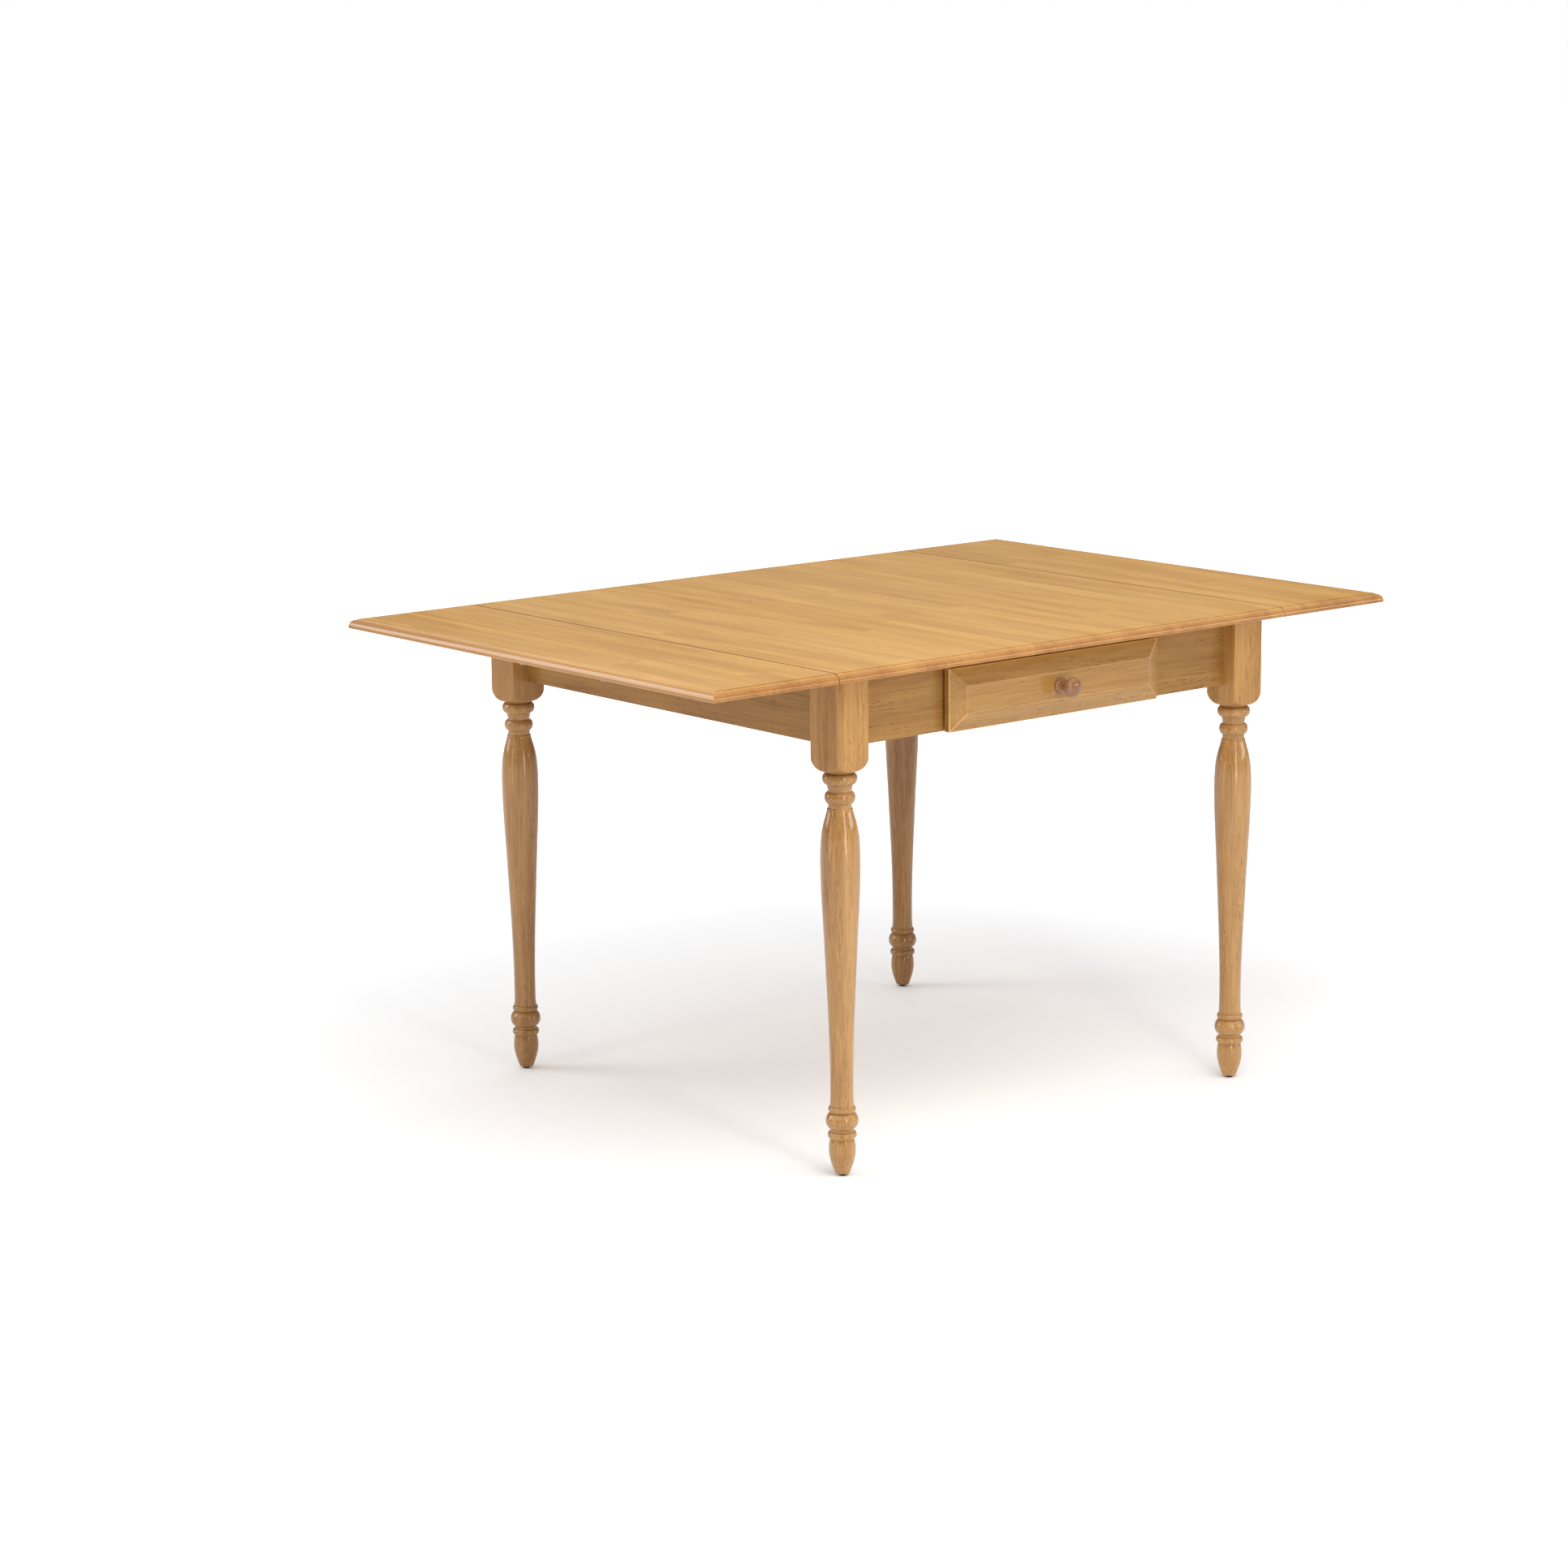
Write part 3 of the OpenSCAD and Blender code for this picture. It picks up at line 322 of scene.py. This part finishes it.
leg_line += rounded_band(101.0, 4.5, 17.5, 20.6, 0.6, 7)
leg_line += [(18.0, 107.6), (17.4, 112.0)]
leg_line += [tuple(p) for p in smooth_line(VASE, 5)]
leg_line += [(19.2, 551.2), (18.9, 552.0), (17.4, 553.6)]
leg_line += rounded_band(568.5, 9.0, 17.4, 22.8, 0.6, 9)
leg_line += [(17.7, 580.5)]
leg_line += rounded_band(596.5, 8.5, 19.8, 26.0, 0.55, 9)
leg_line += [(20.8, 606.5), (21.0, BLOCK_Z)]
leg_line += [(24 + 19.2 * math.sin(math.radians(7.5 * i)),
              BLOCK_Z + 24 * (1 - math.cos(math.radians(7.5 * i)))) for i in range(13)]
leg_line += [(43.2, UNDER_Z), (0, UNDER_Z)]


def leg_mesh():
    """One leg at the origin: lathe work, then the blank's four flat sides sawn true."""
    leg = turned(leg_line, 112)
    half = LEG_HALF / 1000
    for side in ((1, 0, 0), (-1, 0, 0), (0, 1, 0), (0, -1, 0)):
        cut = bmesh.ops.bisect_plane(leg, geom=leg.verts[:] + leg.edges[:] + leg.faces[:],
                                     plane_co=Vector(side) * half, plane_no=side,
                                     clear_outer=True, dist=1e-7)
        rim = [e for e in cut["geom_cut"] if isinstance(e, bmesh.types.BMEdge)]
        bmesh.ops.contextual_create(leg, geom=rim)
    bmesh.ops.remove_doubles(leg, verts=leg.verts, dist=1e-6)
    corners = [e for e in leg.edges if e.is_manifold and e.calc_face_angle(0) > 0.5
               and min(v.co.z for v in e.verts) > (BLOCK_Z + 0.1) / 1000]
    bmesh.ops.bevel(leg, geom=corners, offset=0.0011, segments=3, profile=0.5,
                    affect="EDGES", clamp_overlap=True, material=-1)
    bmesh.ops.recalc_face_normals(leg, faces=leg.faces)
    return leg


LEG_LIGHT = (0.59, 0.325, 0.105, 1)
LEG_DARK = (0.28, 0.115, 0.024, 1)
# The two back legs take a darker copy of the leg colours: painted shade for the legs at the back of
# the table.
SHADED_BACK_LEG_LIGHT = (0.47, 0.250, 0.082, 1)
SHADED_BACK_LEG_DARK = (0.20, 0.082, 0.020, 1)
leg_paint = wooden("leg_wood", LEG_LIGHT, LEG_DARK, ALONG_Z, figure=1.2, fibres=1.1,
                   pores=1.2, gloss=0.4, lacquer=1.0, lacquer_gloss=0.12, edge=0.3,
                   burnished_to=BLOCK_Z / 1000)
shaded_back_leg_paint = wooden("back_leg_wood_painted_shade", SHADED_BACK_LEG_LIGHT, SHADED_BACK_LEG_DARK, ALONG_Z, figure=1.5,
                        fibres=1.1, pores=1.0, gloss=0.4, lacquer=0.8, lacquer_gloss=0.13,
                        burnished_to=BLOCK_Z / 1000)
for node, sx, sy, paint in (("front_left_leg", -1, -1, leg_paint),
                            ("front_right_leg", 1, -1, leg_paint),
                            ("back_left_leg", -1, 1, shaded_back_leg_paint),
                            ("back_right_leg", 1, 1, shaded_back_leg_paint)):
    leg = leg_mesh()
    bmesh.ops.translate(leg, verts=leg.verts, vec=(sx * LEG_CENTRE[0], sy * LEG_CENTRE[1], 0))
    piece = finished("turned_" + node, leg, paint)
    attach(piece, "frame")
    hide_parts(node)

# ---- Glides
# Four nail-on glides of black moulded plastic, tapped into the end of each peg foot.


def plain_paint(name, colour, rough, metal=0.0):
    paint = bpy.data.materials.new(name)
    paint.use_nodes = True
    shader = paint.node_tree.nodes["Principled BSDF"]
    shader.inputs["Base Color"].default_value = colour
    shader.inputs["Metallic"].default_value = metal
    shader.inputs["Roughness"].default_value = rough
    return paint, paint.node_tree, shader


def dressed(names, paint, round_by=0.0, segments=2):
    """Gives CAD nodes their finish and eases their sharp edges."""
    for name in names:
        part = nodes[name]
        part.data.materials.clear()
        part.data.materials.append(paint)
        if round_by:
            joined = part.modifiers.new("joined", "WELD")
            joined.merge_threshold = 1e-6
            eased = part.modifiers.new("eased", "BEVEL")
            eased.width = round_by
            eased.segments = segments
            eased.limit_method = "ANGLE"
            eased.angle_limit = math.radians(40)
            eased.harden_normals = True


glide_paint, tree, shader = plain_paint("glide_plastic", (0.012, 0.012, 0.013, 1), 0.45)
where = tree.nodes.new("ShaderNodeTexCoord")
scuffs = noise(tree, where.outputs[3], 260.0, 4.0, 0.7)
tree.links.new(spread(tree, scuffs, 0.3, 0.7, 0.35, 0.65), shader.inputs["Roughness"])
tree.links.new(tint(tree, "MIX", spread(tree, scuffs, 0.55, 0.8), (0.012, 0.012, 0.013, 1),
                    (0.05, 0.048, 0.045, 1)), shader.inputs["Base Color"])
dressed(["leg_glides"], glide_paint)

# ---- Aprons and drawer rails
# Rubberwood boards on edge between the leg blocks; the front is two short pieces joined over
# and under the drawer opening by two rails, with dowels in the rail ends.
APRON_LIGHT = (0.46, 0.245, 0.070, 1)
APRON_DARK = (0.22, 0.095, 0.018, 1)
long_apron = wooden("apron_wood_long", APRON_LIGHT, APRON_DARK, ALONG_X,
                    figure=1.3, fibres=1.0, pores=1.2, gloss=0.45, lacquer=0.3)
end_apron = wooden("apron_wood_end", APRON_LIGHT, APRON_DARK, ALONG_Y,
                   figure=1.3, fibres=1.0, pores=1.2, gloss=0.45, lacquer=0.3)
dressed(["left_apron", "right_apron"], end_apron, 0.0009)
dressed(["back_apron", "front_apron_left", "front_apron_right", "upper_drawer_rail",
         "lower_drawer_rail"], long_apron, 0.0009)

# ---- Braces, cleats and runners
# Unstained hardwood inside the frame: corner braces drawn tight by the bolts, cleats under
# the top, runners with their strips and the stops of the drawer.
PLAIN_LIGHT = (0.72, 0.56, 0.34, 1)
PLAIN_DARK = (0.52, 0.36, 0.185, 1)
plain_x = wooden("plain_wood_x", PLAIN_LIGHT, PLAIN_DARK, ALONG_X, stave=(0.3, 0.7, 0.25),
                 figure=0.7, pores=0.8, gloss=0.62, lacquer=0.0, edge=0.2)
plain_y = wooden("plain_wood_y", PLAIN_LIGHT, PLAIN_DARK, ALONG_Y, stave=(0.3, 0.7, 0.25),
                 figure=0.7, pores=0.8, gloss=0.62, lacquer=0.0, edge=0.2)
plain_z = wooden("plain_wood_z", PLAIN_LIGHT, PLAIN_DARK, ALONG_Z, stave=(0.3, 0.7, 0.25),
                 figure=0.7, pores=0.8, gloss=0.62, lacquer=0.0, edge=0.2)
dressed(["front_left_brace", "front_right_brace", "back_left_brace", "back_right_brace"],
        plain_z, 0.0008)
dressed(["rail_dowels"], plain_x)
dressed(["back_cleat"], plain_x, 0.0008)
dressed(["left_cleat", "right_cleat", "left_runner", "right_runner", "runner_strips",
         "drawer_stops"], plain_y, 0.0008)

# ---- Steel: bolts, washers, nuts, screws, hinges and stays
# Zinc-plated steel, rolled or stamped, a little dull and cloudy; the stay bars and hinge
# plates have a fine brushed look.
steel_paint, tree, shader = plain_paint("zinc_steel", (0.6, 0.6, 0.62, 1), 0.35, 1.0)
where = tree.nodes.new("ShaderNodeTexCoord")
clouds = noise(tree, where.outputs[3], 95.0, 4.0, 0.6)
brushed = noise(tree, stretched(tree, where.outputs[3], 90.0, 1600.0), 1.0, 2.0)
tree.links.new(tint(tree, "MIX", spread(tree, clouds, 0.3, 0.75), (0.66, 0.67, 0.69, 1),
                    (0.42, 0.42, 0.43, 1)), shader.inputs["Base Color"])
tree.links.new(maths(tree, "ADD", maths(tree, "MULTIPLY", clouds, 0.25),
                     maths(tree, "MULTIPLY", brushed, 0.22)), shader.inputs["Roughness"])
bump = put(tree, "Bump")
bump.inputs["Strength"].default_value = 0.15
bump.inputs["Distance"].default_value = 0.00005
tree.links.new(brushed, bump.inputs["Height"])
tree.links.new(bump.outputs[0], shader.inputs["Normal"])
dressed(["hanger_bolts", "bolt_washers", "brace_screws", "top_screws", "knob_screw",
         "drawer_front_screws", "hinge_pins", "frame_fitting_screws", "left_leaf_screws",
         "right_leaf_screws"], steel_paint)
dressed(["bolt_nuts", "hinge_fixed_plates", "stay_brackets", "left_hinge_plates",
         "right_hinge_plates", "left_stay_plates", "right_stay_plates"]
        + [f"{side}_{end}_{bar}" for side in ("left", "right") for end in ("front", "back")
           for bar in ("link", "arm")], steel_paint, 0.0003)

# ---- Drawer
# Box of plain boards with a thin plywood bottom held in grooves; the raised and bevelled front
# is screwed on from inside and carries a turned knob on one machine screw.
ply_paint = wooden("plywood", (0.70, 0.54, 0.34, 1), (0.54, 0.38, 0.21, 1), ALONG_X,
                   stave=(0.9, 2.0, 0.1), figure=0.9, pores=0.5, gloss=0.55, lacquer=0.0,
                   edge=0.1)
dressed(["box_bottom"], ply_paint)
dressed(["box_front", "box_back"], plain_x, 0.0008)
dressed(["box_left_side", "box_right_side"], plain_y, 0.0008)

FRONT_LOW, FRONT_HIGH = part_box("drawer_front")
BEVEL_WIDE = 0.027
BEVEL_DEEP = 0.011
front = bmesh.new()
bmesh.ops.create_cube(front, size=1.0)
size = FRONT_HIGH - FRONT_LOW
rim_size = (size.x, size.y - BEVEL_DEEP, size.z)
bmesh.ops.scale(front, verts=front.verts, vec=rim_size)
bmesh.ops.translate(front, verts=front.verts, vec=(
    (FRONT_LOW.x + FRONT_HIGH.x) / 2, FRONT_HIGH.y - rim_size[1] / 2,
    (FRONT_LOW.z + FRONT_HIGH.z) / 2))
bmesh.ops.recalc_face_normals(front, faces=front.faces)
field = [f for f in front.faces if f.normal.y < -0.9]
bmesh.ops.inset_region(front, faces=field, thickness=BEVEL_WIDE, depth=BEVEL_DEEP,
                       use_even_offset=True, use_boundary=True)
arris = [e for e in front.edges if e.calc_face_angle(0) > 0.2]
bmesh.ops.bevel(front, geom=arris, offset=0.0008, segments=4, profile=0.5, affect="EDGES",
                clamp_overlap=True, material=-1)
bmesh.ops.recalc_face_normals(front, faces=front.faces)
# The drawer front's edge mask runs at full strength with a near-white colour: a painted highlight
# along the arrises of the field, the mitres and the rim.
front_paint = wooden("drawer_front_wood", (0.52, 0.285, 0.080, 1), (0.29, 0.130, 0.024, 1),
                     ALONG_X, figure=1.2, fibres=1.0, pores=1.2, gloss=0.4,
                     lacquer=0.8, lacquer_gloss=0.1, edge=2.0, edge_wide=0.002,
                     full_turn=0.988, bare_and_highlight=1.9)
drawer_front = finished("raised_drawer_front", front, front_paint, 20.0)
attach(drawer_front, "drawer")
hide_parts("drawer_front")

KNOB_HEAD_R = 15.5
knob_line = [(0, 0), (12.0, 0), (12.4, 0.2), (12.5, 0.7), (12.5, 2.3), (12.2, 2.9),
             (11.4, 3.1)]
knob_line += [(7.3 + 2.5 * (2 * t - 1) ** 2, 4 + 13.6 * t) for t in [i / 14 for i in range(14)]]
knob_line += [(KNOB_HEAD_R * math.cos(math.radians(a)) if a < 90 else 0,
               26.3 + 9.2 * math.sin(math.radians(a))) for a in range(-60, 91, 5)]
knob = turned(knob_line, 72)
bmesh.ops.rotate(knob, verts=knob.verts, cent=(0, 0, 0), matrix=Matrix.Rotation(
    math.radians(90), 3, "X"))
bmesh.ops.translate(knob, verts=knob.verts, vec=(
    0, FRONT_LOW.y, (FRONT_LOW.z + FRONT_HIGH.z) / 2))
knob_paint = wooden("knob_wood", (0.40, 0.185, 0.075, 1), (0.22, 0.085, 0.028, 1), ALONG_Y,
                    figure=0.9, pores=0.8, gloss=0.3, lacquer=1.0, lacquer_gloss=0.1)
knob_piece = finished("turned_knob", knob, knob_paint)
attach(knob_piece, "drawer")
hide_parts("drawer_knob")

# ---- Top and leaves
# Edge-glued, finger-jointed rubberwood panels, 15 mm thick, with the grain across the table's
# length. The rim is routed: a small step, a quarter-round, a soft lower edge. The leaves
# butt against the middle panel at plain seams.
TOP_THICK = 0.015
EDGE_IN = 0.0105
STEP = 0.001
STEP_DOWN = 0.0012
rim_line = [(-0.0015 * (1 - math.sin(math.radians(18 * i))),
             0.0015 * (1 - math.cos(math.radians(18 * i)))) for i in range(6)]
rise = TOP_THICK - STEP_DOWN - 0.0027
rim_line += [(-(EDGE_IN - STEP) * (1 - math.cos(math.radians(6 * i))),
              0.0027 + rise * math.sin(math.radians(6 * i))) for i in range(16)]
rim_line += [(-(EDGE_IN - 0.0002), TOP_THICK - STEP_DOWN + 0.0001),
             (-EDGE_IN, TOP_THICK - STEP_DOWN + 0.0004), (-EDGE_IN, TOP_THICK - 0.0005),
             (-EDGE_IN - 0.0002, TOP_THICK - 0.00015), (-EDGE_IN - 0.0006, TOP_THICK)]


def panel(x_low, x_high, low_moulded, high_moulded, name):
    """Board with both long edges routed, and the ends that are asked for."""
    board = bmesh.new()
    half_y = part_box("top_centre")[1].y
    layer = board.faces.new([board.verts.new(p) for p in (
        (x_low, -half_y, 0), (x_low, half_y, 0), (x_high, half_y, 0), (x_high, -half_y, 0))])
    middle = (x_low + x_high) / 2
    for step, (inward, height) in enumerate(rim_line):
        if step:
            grown = bmesh.ops.extrude_face_region(
                board, geom=[layer] + list(layer.edges) + list(layer.verts))
            layer = next(f for f in grown["geom"] if isinstance(f, bmesh.types.BMFace))
        for v in layer.verts:
            v.co.y = math.copysign(half_y + inward, v.co.y)
            if v.co.x < middle:
                v.co.x = x_low - (inward if low_moulded else 0)
            else:
                v.co.x = x_high + (inward if high_moulded else 0)
            v.co.z = UNDER_Z / 1000 + height
    bmesh.ops.recalc_face_normals(board, faces=board.faces)
    plain_ends = [x for x, moulded in ((x_low, low_moulded), (x_high, high_moulded))
                  if not moulded]
    top_z = UNDER_Z / 1000 + TOP_THICK
    seams = [e for e in board.edges if e.calc_length() > 0.5 and all(
        abs(v.co.z - top_z) < 1e-6 and min(abs(v.co.x - x) for x in plain_ends) < 1e-6
        for v in e.verts)]
    bmesh.ops.bevel(board, geom=seams, offset=0.0003, segments=3, profile=0.5,
                    affect="EDGES", clamp_overlap=True, material=-1)
    return finished(name, board, top_paint, 34.0)


TOP_LIGHT = (0.70, 0.395, 0.106, 1)
TOP_DARK = (0.44, 0.205, 0.032, 1)
SEAM_X = 0.4572
# Multiplied into the sides of the routed top that aren't level, making them darker than the flat
# top.
SIDE_DARKENING = (0.78, 0.65, 0.56, 1)
# Painted shade: multiplied into the top faces along the seams between the panels.
SEAM_SHADE = (0.30, 0.19, 0.11, 1)
top_paint = wooden("top_wood", TOP_LIGHT, TOP_DARK, ALONG_Y, stave=(0.072, 0.62, 0.12),
                   figure=1.5, pores=0.5, fibres=0.7, gloss=0.5, lacquer=0.16, lacquer_gloss=0.12,
                   routed=True, edge=0.0, shine=0.2)
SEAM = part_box("top_centre")[1].x
LEAF_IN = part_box("right_leaf_board")[0].x
LEAF_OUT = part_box("right_leaf_board")[1].x
for name, body, node, ends in (
        ("middle_panel", "frame", "top_centre", (-SEAM, SEAM, False, False)),
        ("left_leaf_panel", "left_leaf", "left_leaf_board", (-LEAF_OUT, -LEAF_IN, True, False)),
        ("right_leaf_panel", "right_leaf", "right_leaf_board", (LEAF_IN, LEAF_OUT, False, True))):
    board = panel(*ends, name)
    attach(board, body)
    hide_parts(node)

# ---- Floor, light and camera
# A pale seamless floor, a soft pale surround, five upright softboxes round the table, two of them
# to the left and right of the camera, and one more that hangs over the table.
floor_mesh = bmesh.new()
bmesh.ops.create_circle(floor_mesh, cap_ends=True, segments=96, radius=60.0)
bmesh.ops.translate(floor_mesh, verts=floor_mesh.verts, vec=(0, 0, -0.0002))
floor_paint, tree, shader = plain_paint("studio_floor", (0.92, 0.93, 0.945, 1), 0.85)
where = tree.nodes.new("ShaderNodeTexCoord")
outward = put(tree, "VectorMath", {"operation": "LENGTH"}, i0=where.outputs[3]).outputs[1]
# The floor also glows for camera rays only: painted light, faint next to the table and close to
# white further out.
glow = tint(tree, "MIX", spread(tree, outward, 0.9, 3.0), (0.09, 0.094, 0.10, 1), (0.8, 0.8, 0.8, 1))
seen = put(tree, "LightPath").outputs[0]
tree.links.new(tint(tree, "MIX", seen, (0, 0, 0, 1), glow), shader.inputs["Emission Color"])
shader.inputs["Emission Strength"].default_value = 1.0
shader.inputs["Specular IOR Level"].default_value = 0.0
from_below = put(tree, "NewGeometry").outputs["Backfacing"]
tree.links.new(maths(tree, "SUBTRACT", 1.0, from_below), shader.inputs["Alpha"])
floor = finished("studio_floor", floor_mesh, floor_paint)

world = bpy.data.worlds.new("studio_surround")
bpy.context.scene.world = world
world.use_nodes = True
tree = world.node_tree
sky = tree.nodes["Background"]
where = tree.nodes.new("ShaderNodeTexCoord")
up = put(tree, "SeparateXYZ", None, i0=where.outputs[0])
climb = spread(tree, up.outputs[2], 0.12, 0.8, 0.05, 1.02)
path = tree.nodes.new("ShaderNodeLightPath")
sky.inputs["Color"].default_value = (1.0, 1.0, 1.0, 1)
power = put(tree, "Mix", None, i0=path.outputs[0], i2=climb, i3=1.0).outputs[0]
tree.links.new(power, sky.inputs["Strength"])

VIEW_AZIMUTH, VIEW_TILT, VIEW_ROLL = (math.radians(a) for a in (-39.42, 11.25, -0.57))


def softbox(name, azimuth, low, high, distance, wide, watts, tone=(1.0, 0.985, 0.965)):
    """Upright area light that stands at an azimuth round the table and faces it."""
    light = bpy.data.lights.new(name, "AREA")
    light.shape = "RECTANGLE"
    light.size, light.size_y = wide, high - low
    light.energy = watts
    light.color = tone
    lamp = bpy.data.objects.new(name, light)
    bpy.context.scene.collection.objects.link(lamp)
    a = math.radians(azimuth)
    out = Vector((math.sin(a), -math.cos(a), 0))
    lamp.location = out * distance + Vector((0, 0, (low + high) / 2))
    lamp.rotation_euler = (-out).to_track_quat("-Z", "Y").to_euler()
    lamp.visible_camera = False


softbox("key_softbox", -14, 0.1, 2.6, 2.9, 0.4, 20)
softbox("left_softbox", -94, 0.05, 2.2, 2.6, 0.3, 7)
softbox("front_edge_softbox", 39, 1.0, 1.6, 4.4, 2.6, 24)
softbox("end_edge_softbox", -137, 0.9, 3.6, 4.4, 1.8, 62)
softbox("sheen_softbox", 141, 1.6, 2.2, 4.0, 2.6, 7.0)
over = bpy.data.lights.new("over_softbox", "AREA")
over.shape = "RECTANGLE"
over.size, over.size_y = 1.8, 1.2
over.energy = 25
lamp = bpy.data.objects.new("over_softbox", over)
lamp.location = (-0.4, -1.5, 2.5)
lamp.visible_camera = False
lamp.visible_glossy = False
bpy.context.scene.collection.objects.link(lamp)

lens = bpy.data.cameras.new("studio_camera")
lens.sensor_width = 36
lens.lens = 89.48
lens.clip_end = 200
camera = bpy.data.objects.new("studio_camera", lens)
bpy.context.scene.collection.objects.link(camera)
back = Vector((math.sin(VIEW_AZIMUTH) * math.cos(VIEW_TILT),
               -math.cos(VIEW_AZIMUTH) * math.cos(VIEW_TILT), math.sin(VIEW_TILT)))
right = Vector((math.cos(VIEW_AZIMUTH), math.sin(VIEW_AZIMUTH), 0))
upward = back.cross(right)
roll_right = right * math.cos(VIEW_ROLL) + upward * math.sin(VIEW_ROLL)
roll_up = upward * math.cos(VIEW_ROLL) - right * math.sin(VIEW_ROLL)
camera.matrix_world = Matrix((roll_right, roll_up, back)).transposed().to_4x4()
camera.location = (-3.98013, -4.61691, 1.6883)
bpy.context.scene.camera = camera
bpy.context.scene.view_settings.view_transform = "Standard"
